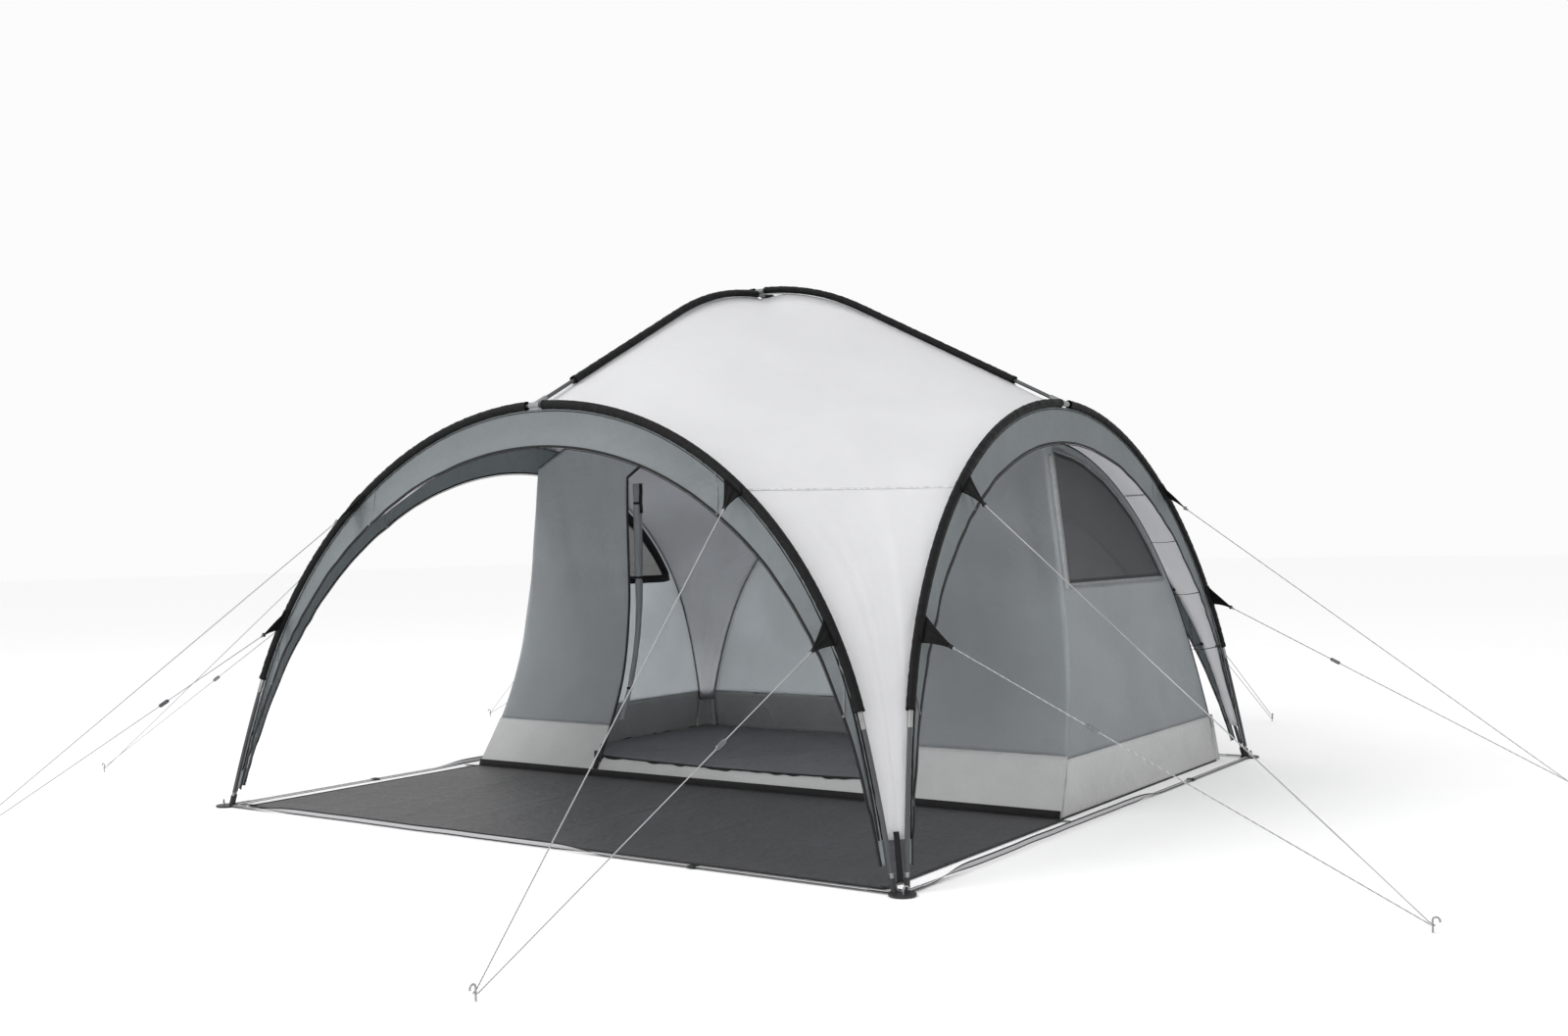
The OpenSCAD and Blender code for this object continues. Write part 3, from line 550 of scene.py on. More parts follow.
def braid(name, colour, tracer):
    """Braided guy cord: crossing strands with a reflective tracer yarn."""
    f = Finish(name, 0.6, Sheen_Weight=0.2)
    place = f.place()
    strands = f.add("ShaderNodeTexWave", {"Vector": place, "Scale": 260.0, "Distortion": 1.5},
                    wave_type="BANDS", bands_direction="DIAGONAL").outputs["Fac"]
    yarn = f.add("ShaderNodeTexWave", {"Vector": place, "Scale": 48.0},
                 wave_type="BANDS", bands_direction="DIAGONAL").outputs["Fac"]
    shade = f.mix(f.spread(strands, 0.2, 0.8), scaled(colour, 0.75), colour)
    f.link(f.mix(f.spread(yarn, 0.86, 0.95, 0.0, 0.8), shade, tracer), "Base Color")
    f.link(f.bump(strands, 0.6, 0.0005), "Normal")
    return f.material


def net(name, colour, open_share):
    """Fine insect mesh: mostly see-through, with a fine weave of threads."""
    f = Finish(name, 0.75)
    uv = f.cloth_uv()
    broad = f.noise(f.place(), 3.0, 3.0)
    f.link(f.mix(f.spread(broad, 0.3, 0.7), colour, scaled(colour, 1.3)), "Base Color")
    f.show_mix(1 - open_share, f.add("ShaderNodeBsdfTransparent"), f.shader)
    f.link(f.bump(threads(f, uv, 0.003), 0.4, 0.0004), "Normal")
    return f.material


def matte_floor():
    f = Finish("pale_floor", 0.95, Specular_IOR_Level=0.1)
    grain = f.noise(f.place(), 3.0, 4.0)
    f.link(f.mix(grain, (0.96, 0.96, 0.96), (0.985, 0.985, 0.985)), "Base Color")
    return f.material


CANOPY_CLOTH = polyester("canopy_cloth", (0.86, 0.86, 0.87), 0.5, crease=0.16, mottle=0.012, rib=0.0065,
                         soil=0.10, glow=0.5, through=1.1)
BAND_CLOTH = polyester("band_cloth", (0.262, 0.288, 0.298), 0.5, crease=0.34, mottle=0.05, rib=0.0065,
                       glow=0.42, through=1.25)
INNER_CLOTH = polyester("inner_cloth", (0.32, 0.332, 0.34), 0.68, crease=0.30, mottle=0.04, rib=0.005,
                        glow=0.55, through=3.0)
ROOF_CLOTH = polyester("roof_cloth", (0.30, 0.305, 0.31), 0.68, crease=0.30, mottle=0.04, rib=0.005,
                       glow=0.78, through=3.1)
TUB_CLOTH = polyester("tub_cloth", (0.42, 0.43, 0.43), 0.42, crease=0.35, mottle=0.04, soil=0.16)
FLOOR_CLOTH = polyester("floor_cloth", (0.19, 0.193, 0.20), 0.5, crease=0.5, mottle=0.10)
SHEET_CLOTH = polyester("groundsheet_cloth", (0.042, 0.043, 0.047), 0.5, crease=0.28, mottle=0.10, rib=0.007,
                        soil=0.03)
SLEEVE_CLOTH = polyester("sleeve_cloth", (0.0055, 0.0057, 0.0063), 0.6, crease=0.5, mottle=0.12, rib=0.0045,
                         Specular_IOR_Level=0.16)
TAB_CLOTH = polyester("tab_cloth", (0.0055, 0.0055, 0.006), 0.62, crease=0.4, mottle=0.12, rib=0.004,
                      Specular_IOR_Level=0.16)
MESH_CLOTH = net("mesh_cloth", (0.030, 0.031, 0.034), 0.36)
STRAP_WEB = webbing("strap_web", (0.012, 0.012, 0.013), 0.025, stripe=(0.45, 0.45, 0.46))
TRIM_WEB = webbing("trim_web", (0.008, 0.008, 0.009), 0.022)
WALL_TAPE = webbing("wall_tape", (0.27, 0.28, 0.285), 0.040, thread=0.85)
BAND_TAPE = webbing("band_tape", (0.17, 0.18, 0.185), 0.010, thread=1.3)
SEAM_TAPE = webbing("seam_tape", (0.56, 0.56, 0.57), 0.012, thread=0.85)
ZIP_TAPE = plastic("zip_tape", (0.010, 0.010, 0.011), 0.5)
CORD = braid("guy_cord", (0.33, 0.33, 0.34), (0.62, 0.63, 0.65))
ELASTIC = braid("elastic_cord", (0.02, 0.02, 0.02), (0.25, 0.25, 0.25))
POLE = painted("pole_coat", (0.075, 0.078, 0.082), 0.38)
STEEL = metal("bright_steel", (0.36, 0.36, 0.355), 0.36)
PEG = metal("peg_steel", (0.40, 0.40, 0.41), 0.4)
ALLOY = metal("runner_alloy", (0.22, 0.23, 0.25), 0.42)
GREY_PLASTIC = plastic("grey_plastic", (0.20, 0.205, 0.21), 0.5)
BLACK_PLASTIC = plastic("black_plastic", (0.014, 0.014, 0.015), 0.45)


# ---- camera, lights and floor ----

def add_stage():
    data = bpy.data.cameras.new("camera")
    data.sensor_width = 36
    data.lens = 35.41
    data.clip_end = 200
    camera = bpy.data.objects.new("camera", data)
    bpy.context.scene.collection.objects.link(camera)
    camera.matrix_world = (Matrix.Translation((4.268, -6.041, 1.146))
                           @ Matrix.Rotation(math.radians(34.516), 4, "Z")
                           @ Matrix.Rotation(math.radians(90.823), 4, "X")
                           @ Matrix.Rotation(math.radians(-1.098), 4, "Z"))
    bpy.context.scene.camera = camera
    bpy.context.scene.view_settings.view_transform = "Standard"

    world = bpy.data.worlds.new("studio")
    world.use_nodes = True
    background = next(n for n in world.node_tree.nodes if n.type == "BACKGROUND")
    background.inputs["Color"].default_value = (1.0, 1.0, 1.0, 1.0)
    background.inputs["Strength"].default_value = 0.97
    bpy.context.scene.world = world

    def lamp(name, place, target, size, energy):
        light = bpy.data.lights.new(name, "AREA")
        light.shape = "DISK"
        light.size = size
        light.energy = energy
        obj = bpy.data.objects.new(name, light)
        bpy.context.scene.collection.objects.link(obj)
        obj.location = place
        obj.rotation_euler = (Vector(target) - Vector(place)).to_track_quat("-Z", "Y").to_euler()

    lamp("key", (-3.5, -8.0, 7.5), (0, 0, 0.8), 6.0, 520)
    lamp("fill", (8.0, -2.0, 6.0), (0, 0, 0.8), 6.0, 40)

    grid = np.array([[(x, y, 0.0) for x in (-60, 60)] for y in (-60, 60)], float)
    floor = build("floor", [sheet_part(grid)])
    floor.data.materials.append(matte_floor())
    floor.location.z = -0.002


# ---- guy lines ----

def placed(points, k, side):
    return turned(np.asarray(points, float) * np.array([side, 1, 1]), k)


def guy_line(name, k, side):
    """One V of cord from the upper tab, round the peg, to the lower tab."""
    route = placed(LINE_ROUTE, k, side)
    curve = bpy.data.curves.new("guy_line_" + name, "CURVE")
    curve.dimensions = "3D"
    curve.bevel_depth = LINE_D / 2
    curve.bevel_resolution = 3
    curve.use_fill_caps = True
    spline = curve.splines.new("POLY")
    spline.points.add(len(route) - 1)
    for point, co in zip(spline.points, route):
        point.co = (*co, 1.0)
    obj = bpy.data.objects.new("guy_line_" + name, curve)
    bpy.context.scene.collection.objects.link(obj)
    piece(obj, CORD, "guy_cord", "line_" + name)


def knot_part(start, toward):
    """Three turns of cord wrapped round a line just below its tab."""
    axis = unit(np.asarray(toward, float) - np.asarray(start, float))
    side = unit(np.cross(axis, [0.0, 0.0, 1.0]))
    up = np.cross(side, axis)
    angle = np.linspace(0, 6 * np.pi, 37)
    centre = np.asarray(start) + axis * (0.006 + 0.013 * angle[:, None] / angle[-1])
    coil = centre + 0.0036 * swing(angle, side, up)
    return swept_part(coil, circle(0.0018, 6), axis)


def guy_lines():
    for name, (k, side) in LINES.items():
        guy_line(name, k, side)
    knots = []
    for k, side in LINES.values():
        route = placed(LINE_ROUTE, k, side)
        knots += [knot_part(route[0], route[1]), knot_part(route[-1], route[-2])]
    piece(build("guy_knots", knots), CORD, "guy_cord")


# ---- canopy ----

CELLS = 64
RELAX = 5000


def relaxed(grid, pulls, passes):
    """Every inner point moves to its balance between its four neighbours, as a tight skin does."""
    pulls = pulls[1:-1, None, None]
    for _ in range(passes):
        across = grid[1:-1, :-2] + grid[1:-1, 2:]
        grid[1:-1, 1:-1] = (pulls * across + grid[:-2, 1:-1] + grid[2:, 1:-1]) / (2 * pulls + 2)
    return grid


def stretched(left, right, ridge):
    """A skin from three edge lines: rows climb from the foot, columns cross from left to right."""
    n = len(left)
    u = np.linspace(0, 1, n)[None, :, None]
    v = np.linspace(0, 1, n)[:, None, None]
    a, b, c, d = left[0], right[0], left[-1], right[-1]
    foot = a + (b - a) * u
    head = c + (d - c) * u
    grid = left[:, None] + (right - left)[:, None] * u + foot
    grid = grid + (ridge[None] - foot) * v - foot - (head - foot) * v
    climb = np.linalg.norm(left[-1] - left[0])
    return relaxed(grid, np.square(climb / np.linalg.norm(right - left, axis=1)), RELAX)


def quarter_edges(arcs, out, end_turn, ridge_line, cells=CELLS):
    turns = even_turns(arcs, end_turn, 0, cells + 1)
    p = at_turn(arcs, turns)
    t = np.linspace(-1, 1, cells + 1)
    reach = -on_plane(0, at_turn(arcs, 0), out)[1]
    x = np.abs(t) * reach
    front = np.stack([0 * x, -x, ridge_line(x, 0)], -1)
    side = np.stack([x, 0 * x, ridge_line(x, 1)], -1)
    ridge = np.where((t < 0)[:, None], front, side)
    return on_plane(0, p, out), on_plane(1, p * np.array([-1, 1]), out), ridge


def canopy_ridge(x, across):
    """Height of the canopy just under a ridge pole's sleeve; across is 1 under the side-to-side pole."""
    end = on_plane(0, at_turn(CANOPY, 0), SKIN_PLANE)
    pole = ridge_height(PEAK - CROSS, RIDGE_REACH, RIDGE_END, x)
    high = ridge_height(PEAK + CROSS, RIDGE_REACH, RIDGE_END, x)
    pole = pole + across * (high - pole) * step(0.03, 0.16, x)
    last = ridge_height(PEAK - CROSS, RIDGE_REACH, RIDGE_END, -end[1])
    drop = SLEEVE_R + 0.001
    return pole - drop - (last - end[2] - drop) * step(RIDGE_SLEEVE_REACH - 0.1, -end[1], x)


def pull_folds(grid, centre, reach, height, folds, seed):
    """Creases that fan out from a point where the skin is pulled."""
    away = grid - centre
    distance = np.linalg.norm(away, axis=-1)
    normal = unit(np.cross(grid[-1, 0] - grid[0, 0], grid[-1, -1] - grid[0, 0]))
    first = unit(np.cross(normal, [0.0, 0.0, 1.0]))
    second = np.cross(normal, first)
    angle = np.arctan2(away @ second, away @ first)
    phase = np.random.default_rng(seed).uniform(0, 2 * np.pi)
    return height * np.exp(-distance / reach) * step(0.0, 0.05, distance) * np.cos(folds * angle + phase)


def grid_normals(grid):
    return unit(np.cross(np.gradient(grid, axis=1), np.gradient(grid, axis=0)))


def canopy_quarter(k):
    """A quarter of the canopy, pulled tight: puckers at its sleeves, folds at its tabs and its corner."""
    left, right, ridge = quarter_edges(CANOPY, SKIN_PLANE, SKIN_END, canopy_ridge)
    grid = stretched(left, right, ridge)
    rows, columns = grid.shape[:2]
    u = np.linspace(0, 1, columns)[None, :]
    v = np.linspace(0, 1, rows)[:, None]
    run = lengths(left)[:, None]
    from_left = np.cumsum(np.linalg.norm(np.diff(grid, axis=1, prepend=grid[:, :1]), axis=-1), axis=1)
    from_right = from_left[:, -1:] - from_left
    lift = 0.0016 * np.exp(-from_left / 0.05) * ripple(run, 0.085, 10 + k)
    lift = lift + 0.0016 * np.exp(-from_right / 0.05) * ripple(run, 0.080, 20 + k)
    lift = lift + 0.0035 * np.exp(-v / 0.16) * np.cos(2 * np.pi * (2.5 * u + 0.2 * ripple(run, 0.6, 30 + k)))
    for turn, seed in zip(TAB_TURNS, (40, 50)):
        for side in (0, 1):
            spot = on_plane(side, at_turn(CANOPY, turn * (1 - 2 * side)), SKIN_PLANE)
            lift = lift + pull_folds(grid, spot, 0.16, 0.0045, 6, seed + k + side)
    ridge_run = lengths(ridge)[None, :]
    lift = lift + 0.0015 * np.exp(-(1 - v) / 0.03) * ripple(ridge_run, 0.11, 60 + k)
    lift = lift + 0.003 * np.sin(np.pi * u) * np.sin(np.pi * v) * ripple(u + 0.6 * v, 0.35, 70 + k)
    edge = np.minimum(np.minimum(u, 1 - u), np.minimum(v + 0.02, 1 - v)) * (rows - 1)
    lift = lift * step(0, 2.0, edge)
    return turned(grid + grid_normals(grid) * lift[..., None], k)


def crossing(grid, height):
    """Where each column of a climbing grid passes a height, and the skin's normals there."""
    normals = grid_normals(grid)
    points, facing = [], []
    for i in range(grid.shape[1]):
        column = grid[:, i]
        points.append([np.interp(height, column[:, 2], column[:, a]) for a in range(3)])
        facing.append([np.interp(height, column[:, 2], normals[:, i, a]) for a in range(3)])
    return np.array(points), np.array(facing)


def canopy():
    """The canopy: one continuous sheet over both ridges, with its cross seams and its edge flanges."""
    grids = [canopy_quarter(k) for k in range(4)]
    sheet = build("canopy", [sheet_part(g) for g in grids], weld=True)
    piece(sheet, CANOPY_CLOTH, "canopy_fabric", "canopy_front_right", "canopy_rear_right",
          "canopy_rear_left", "canopy_front_left")
    cloth(sheet, area=area_of(sheet))

    seams, flanges = [], []
    for g in grids:
        outward = grid_normals(g)
        path, facing = crossing(g, CANOPY_SEAM)
        facing = faced_out(facing, path, HEART)
        seams.append(taped(path + facing * 0.0018, 0.012, 0.0009, facing))
        for column, inner in ((0, 3), (-1, -4)):
            edge = g[:, column]
            inward = unit(g[:, inner] - edge)
            up = faced_out(outward[:, column], edge, HEART)
            flanges.append(taped(edge + inward * 0.001 + up * 0.001, 0.018, 0.0022, up))
    piece(build("canopy_seams", seams), SEAM_TAPE, "canopy_fabric")
    piece(build("canopy_flanges", flanges), TRIM_WEB, "sleeve_fabric")


# ---- sleeves ----

SLEEVE_SIDES = 20
SLEEVE_CLOTH_T = 0.0010


def gathered_tube(path, hint, seed):
    """A sewn pole sleeve: slightly oval, rippled along its length, with a turned hem at each end."""
    run = lengths(path)[:, None]
    around = np.linspace(0, 2 * np.pi, SLEEVE_SIDES, endpoint=False)[None, :]
    swell = 0.0010 * ripple(run, 0.070, seed) * (0.6 + 0.4 * np.cos(around - 0.7))
    swell = swell + 0.0007 * ripple(run + 0.02 * np.sin(around), 0.026, seed + 1)
    pinch = 0.0016 * np.cos(2 * around)
    end = np.minimum(run, run[-1] - run)
    hem = 0.0012 * (1 - step(0.012, 0.016, end))
    r = SLEEVE_R - 0.0022 + swell + pinch * 0.5 + hem
    profile = np.stack([r * np.cos(around), r * np.sin(around)], -1)
    return swept_part(path, profile, hint, caps=False)


def arch_sleeves():
    tubes = []
    for k in range(4):
        for side in (1, -1):
            turns = side * even_turns(ARCH, HUB_TURN, SLEEVE_END, 240)
            path = on_plane(k, at_turn(ARCH, turns))
            tubes.append(gathered_tube(path, plane_normal(k), 100 + 7 * k + side))
    obj = piece(build("arch_pole_sleeves", tubes), SLEEVE_CLOTH, "sleeve_fabric", "arch_sleeves")
    thicken(obj, SLEEVE_CLOTH_T, -1.0)


def ridge_sleeves():
    tubes, seams = [], []
    for k, top in ((1, PEAK + CROSS), (0, PEAK - CROSS)):
        for side in (1, -1):
            x = np.linspace(PEAK_GAP, RIDGE_SLEEVE_REACH, 130)
            z = ridge_height(top, RIDGE_REACH, RIDGE_END, x)
            path = turned(np.stack([0 * x, -side * x, z], -1), k)
            tubes.append(gathered_tube(path, (0, 0, 1), 200 + 5 * k + side))
            seams.append(taped(path - (SLEEVE_R + 0.001) * UP, 0.030, 0.002, UP))
    obj = piece(build("ridge_pole_sleeves", tubes), SLEEVE_CLOTH, "sleeve_fabric", "ridge_sleeves")
    thicken(obj, SLEEVE_CLOTH_T, -1.0)
    piece(build("ridge_flanges", seams), SEAM_TAPE, "canopy_fabric")


# ---- bands ----

BAND_COLUMNS = 361
BAND_ROWS = 15


def band_grid(k):
    """A valance band between its arch and its hem, slack enough to ripple."""
    turns = even_turns(ARCH, -BAND_END, BAND_END, BAND_COLUMNS)
    outer = at_turn(parallel(ARCH, BAND_INSET - 0.004), turns)
    hem = at_turn(HEM, turns)
    across = np.linspace(0, 1, BAND_ROWS)[:, None]
    flat = outer[None] + (hem - outer)[None] * across[..., None]
    run = lengths(outer)[None, :]
    width = np.linalg.norm(hem - outer, axis=-1)[None, :]
    slack = width / BAND_WIDTH
    out = 0.0030 * slack * ripple(run + 0.10 * across, 0.55, 300 + k) * across
    out = out + 0.0028 * slack * np.exp(-across / 0.3) * ripple(run, 0.075, 310 + k) * step(0, 0.15, across)
    out = out - 0.010 * slack * np.sin(np.pi * across) ** 1.5
    for side in (-1, 1):
        for turn in TAB_TURNS:
            centre = at_turn(ARCH, side * turn)
            away = flat - centre
            distance = np.linalg.norm(away, axis=-1)
            angle = np.arctan2(away[..., 1], away[..., 0])
            fan = np.cos(7 * angle + turn) * step(0, 0.3, across)
            out = out + 0.006 * slack * np.exp(-distance / 0.10) * fan
    return on_plane(k, flat, out), turns


def bands():
    tapes, teeth_centres, teeth_axes, seams = [], [], [], []
    for k, name in enumerate(SIDES):
        grid, turns = band_grid(k)
        sheet = build("valance_" + name, [sheet_part(grid)])
        piece(sheet, BAND_CLOTH, "band_fabric", "band_" + name)
        cloth(sheet, area=area_of(sheet))
        normal = plane_normal(k)
        hem = grid[-1]
        inward = unit(grid[-1] - grid[-2])
        tapes.append(taped(hem - inward * 0.004, 0.010, 0.0030, normal))
        fine = np.arange(0, lengths(hem)[-1], 0.0065)
        spots = np.stack([np.interp(fine, lengths(hem), hem[:, a]) for a in range(3)], -1)
        along = unit(np.gradient(spots, axis=0))
        down = -faced_out(np.cross(along, normal), spots, LOW_HEART)
        teeth_centres.append(spots + down * 0.0048)
        teeth_axes.append(np.stack([along, down, np.broadcast_to(normal, along.shape)], -1))
        for side in (-1, 1):
            for turn in (TAB_TURNS[0] - 3.6, TAB_TURNS[1] + 3.5):
                column = int(np.argmin(np.abs(turns - side * turn)))
                for face in (1, -1):
                    stitched = grid[:, column] + normal * 0.0012 * face
                    seams.append(taped(stitched, 0.010, 0.0012, normal))
    piece(build("hem_zip_tapes", tapes), TRIM_WEB, "zip_coil", "band_zips")
    teeth = box_parts(np.concatenate(teeth_centres), np.concatenate(teeth_axes), (0.0036, 0.0032, 0.0032))
    piece(build("hem_zip_teeth", [teeth]), ZIP_TAPE, "zip_coil")
    piece(build("valance_seams", seams), BAND_TAPE, "band_fabric")


# ---- guy tabs, corner webbing and straps ----

def tab_parts(turn, tip):
    """A two-ply guy tab that flares onto its sleeve, a saddle round the sleeve, and a webbing loop."""
    tip = np.array(tip)
    centre = on_plane(0, at_turn(ARCH, turn))
    aim = unit(tip - centre)
    arc = ARCH[int(turn > ARCH[0, 2]) + int(turn > ARCH[1, 2])]
    spread = math.degrees(TAB_HALF / arc[0])
    along = unit(on_plane(0, at_turn(ARCH, turn + spread)) - on_plane(0, at_turn(ARCH, turn - spread)))
    square = unit(aim - along * (aim @ along))
    face = unit(np.cross(aim, along))
    t = np.linspace(0, 1, 15)[:, None]
    s = np.linspace(-1, 1, 17)[None, :]
    half = 0.0075 + (TAB_HALF - 0.0075) * (1 - t) ** 1.35
    base = centre + square * (SLEEVE_R - 0.001)
    spine = base + (tip - base) * t[..., None]
    sag = 0.0030 * np.sin(np.pi * t) * np.cos(2.4 * np.pi * s) + 0.004 * np.sin(np.pi * t) * (1 - s ** 2)
    grid = spine + along * (s * half)[..., None] + face * sag[..., None]
    parts = [sheet_part(grid)]
    angle = np.linspace(-1.35, 1.35, 13)
    sleeve_turns = np.linspace(turn - spread, turn + spread, 13)
    middle = on_plane(0, at_turn(ARCH, sleeve_turns))
    cross = np.cross(along, square)
    around = swing(angle, square, cross)
    taper = 1 - 0.45 * np.abs(angle[None, :, None] / 1.35) ** 2
    saddle = centre + (middle - centre)[:, None] * taper + around[None] * (SLEEVE_R + 0.0007)
    parts.append(sheet_part(saddle))
    eye = tip + aim * 0.002
    loop = eye + 0.007 * swing(np.linspace(0, 2 * np.pi, 21), aim, face)
    return parts, taped(loop, 0.012, 0.0014, unit(loop - eye), caps=False)


def guy_tabs():
    patches, loops = [], []
    for k in range(4):
        for mirrored in (False, True):
            for turn, tip in ((TAB_TURNS[0], LINE_ROUTE[0]), (TAB_TURNS[1], LINE_ROUTE[-1])):
                cut, loop = tab_parts(turn, tip)
                patches += [part_turned(part, k, mirrored) for part in cut]
                loops.append(part_turned(loop, k, mirrored))
    obj = piece(build("guy_point_tabs", patches), TAB_CLOTH, "sleeve_fabric", "guy_tabs")
    thicken(obj, 0.0016)
    piece(build("guy_point_loops", loops), TRIM_WEB, "black_webbing")


def corner_webs():
    """A webbing tab from each canopy corner down to its foot, with a steel ring above the plate."""
    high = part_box("corner_webbing")[1]
    top = np.array([HALF - 0.047, -(HALF - 0.047), high[2] + 0.030])
    foot = np.array([HALF - 0.014, -(HALF - 0.014), 0.030])
    out = unit(np.array([1.0, -1.0, 0.0]))
    t = np.linspace(0, 1, 14)[:, None]
    path = top + (foot - top) * t + out * 0.004 * np.sin(np.pi * t)
    webs, rings = [], []
    side = np.array([1.0, 1.0, 0.0]) / math.sqrt(2)
    fall = unit(foot - top)
    centre = foot + fall * 0.008
    ring = centre + 0.013 * swing(np.linspace(0, 2 * np.pi, 33), side, fall)
    for k in range(4):
        webs.append(part_turned(taped(path, 0.020, 0.0018, out), k))
        webs.append(part_turned(taped(path[5:] - out * 0.004, 0.020, 0.0018, out), k))
        rings.append(part_turned(swept_part(ring, circle(0.0018, 8), np.cross(side, fall), caps=False), k))
    piece(build("corner_web_tabs", webs), TRIM_WEB, "black_webbing", "corner_webbing")
    piece(build("corner_rings", rings), STEEL, "bright_steel")


def ground_straps():
    """Webbing between the feet: flat at its ends and its adjuster, and stood on edge in between."""
    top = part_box("ground_straps")[1][2] - 0.0008
    section = tape(0.025, 0.0016)
    end = HALF - FOOT_R - 0.002
    straps = []
    for k in range(4):
        x = np.linspace(-end, end, 200)
        ends = np.minimum(x - x[0], x[-1] - x)
        settle = step(0, 0.25, ends) * (1 - step(0.45, 0.6, x))
        roll = 0.5 * np.pi * step(0.10, 0.45, x - x[0]) * (1 - step(0.2, 0.52, x))
        wander = 0.0035 * ripple(x, 1.1, 400 + k) * settle
        lift = top - 0.0008 * settle + 0.0105 * np.sin(roll)
        turn = np.stack([swing(roll, *np.eye(2)), swing(roll + np.pi / 2, *np.eye(2))], 1)
        path = np.stack([x, -HALF + wander, lift], -1)
        straps.append(part_turned(swept_part(path, np.einsum("pa,nab->npb", section, turn), UP), k))
        for side in (-1, 1):
            fold = np.linspace(end - 0.075, end, 10) * side
            back = np.stack([fold, 0 * fold - HALF, 0 * fold + top + 0.0017], -1)
            straps.append(part_turned(taped(back, 0.025, 0.0015, UP), k))
    piece(build("foot_straps", straps), STRAP_WEB, "black_webbing", "ground_straps")


# ---- groundsheet ----

def groundsheet():
    """A coated sheet with packing folds, shallow ripples, a bound edge and toggled corners."""
    x0, y0, x1, y1 = SHEET_LOW.x, SHEET_LOW.y, SHEET_HIGH.x, SHEET_HIGH.y
    x, y = np.meshgrid(np.linspace(x0, x1, 221), np.linspace(y0, y1, 97))
    edge = np.minimum(np.minimum(x - x0, x1 - x), np.minimum(y - y0, y1 - y))
    z = 0.0026 + 0.0011 * ripple(x + 0.35 * y, 0.62, 500) + 0.0008 * ripple(y - 0.2 * x, 0.4, 501)
    for fold in np.linspace(x0, x1, 7)[1:-1]:
        z = z + 0.0022 * np.exp(-np.abs(x - fold) / 0.012)
    for fold in np.linspace(y0, y1, 4)[1:-1]:
        z = z + 0.0016 * np.exp(-np.abs(y - fold) / 0.010)
    z = 0.0014 + (np.maximum(z, 0.0006) - 0.0014) * step(0, 0.05, edge)
    bow = 0.003 * np.sin(np.pi * (x - x0) / (x1 - x0)) * step(0.25, 0.0, y - y0)
    grid = np.stack([x, y + bow, z], -1)
    sheet = build("porch_groundsheet", [sheet_part(grid)])
    piece(sheet, SHEET_CLOTH, "groundsheet_fabric", "groundsheet")
    cloth(sheet)
    loop = np.concatenate([grid[0, :-1], grid[:-1, -1], grid[-1, :0:-1], grid[::-1, 0]])
    hem = taped(loop + 0.0009 * UP, 0.022, 0.0016, UP, caps=False)
    parts = [hem]
    for cy, inset, slant in ((y0, 0.02, -0.02), (y1, -0.02, 0.0)):
        for cx, side in ((x0, -1), (x1, 1)):
            start = np.array([cx - 0.02 * side, cy + inset, 0.0045])
            stop = start + np.array([0.085 * side, slant, -0.001])
            parts.append(taped(np.linspace(start, stop, 6), 0.018, 0.0014, UP))
    piece(build("groundsheet_binding", parts), TRIM_WEB, "black_webbing")


# ---- inner tent ----

def flare(z):
    return np.where(z < FLARE_HEIGHT, FLARE * np.square(1 - np.minimum(z, FLARE_HEIGHT) / FLARE_HEIGHT), 0.0)


def side_edge(z):
    return HALF - INNER_GAP - math.tan(LEAN) * z


inner_crown = on_plane(0, at_turn(INNER, 0), -INNER_GAP)
INNER_REACH, INNER_EAVE = -inner_crown[1], inner_crown[2]


def inner_ridge(x):
    return ridge_height(INNER_TOP, INNER_REACH, INNER_EAVE, x)


def door_head(x):
    return DOOR_TOP - DOOR_R + np.sqrt(np.maximum(DOOR_R ** 2 - np.square(x), 0))


def front_point(x, z):
    """The front wall's surface: a flared foot, hung folds, and a little slack."""
    pull = 0.007 * ripple(x + 0.22 * z, 0.42, 600) * step(0.15, 0.5, z) * step(1.95, 1.5, z)
    pull = pull - 0.010 * np.sin(np.pi * np.clip((z - TUB) / 1.4, 0, 1)) * step(0.85, 1.3, np.abs(x))
    # The zip holds the right-hand jamb straight, in line with the slider's groove.
    held = step(0.12, 0.0, np.abs(x - DOOR_HALF)) * step(0.78, 0.87, z) * step(1.60, 1.48, z)
    pull = pull * (1 - held) + 0.002 * held
    return np.stack([x, -flare(z) + pull, z], -1)


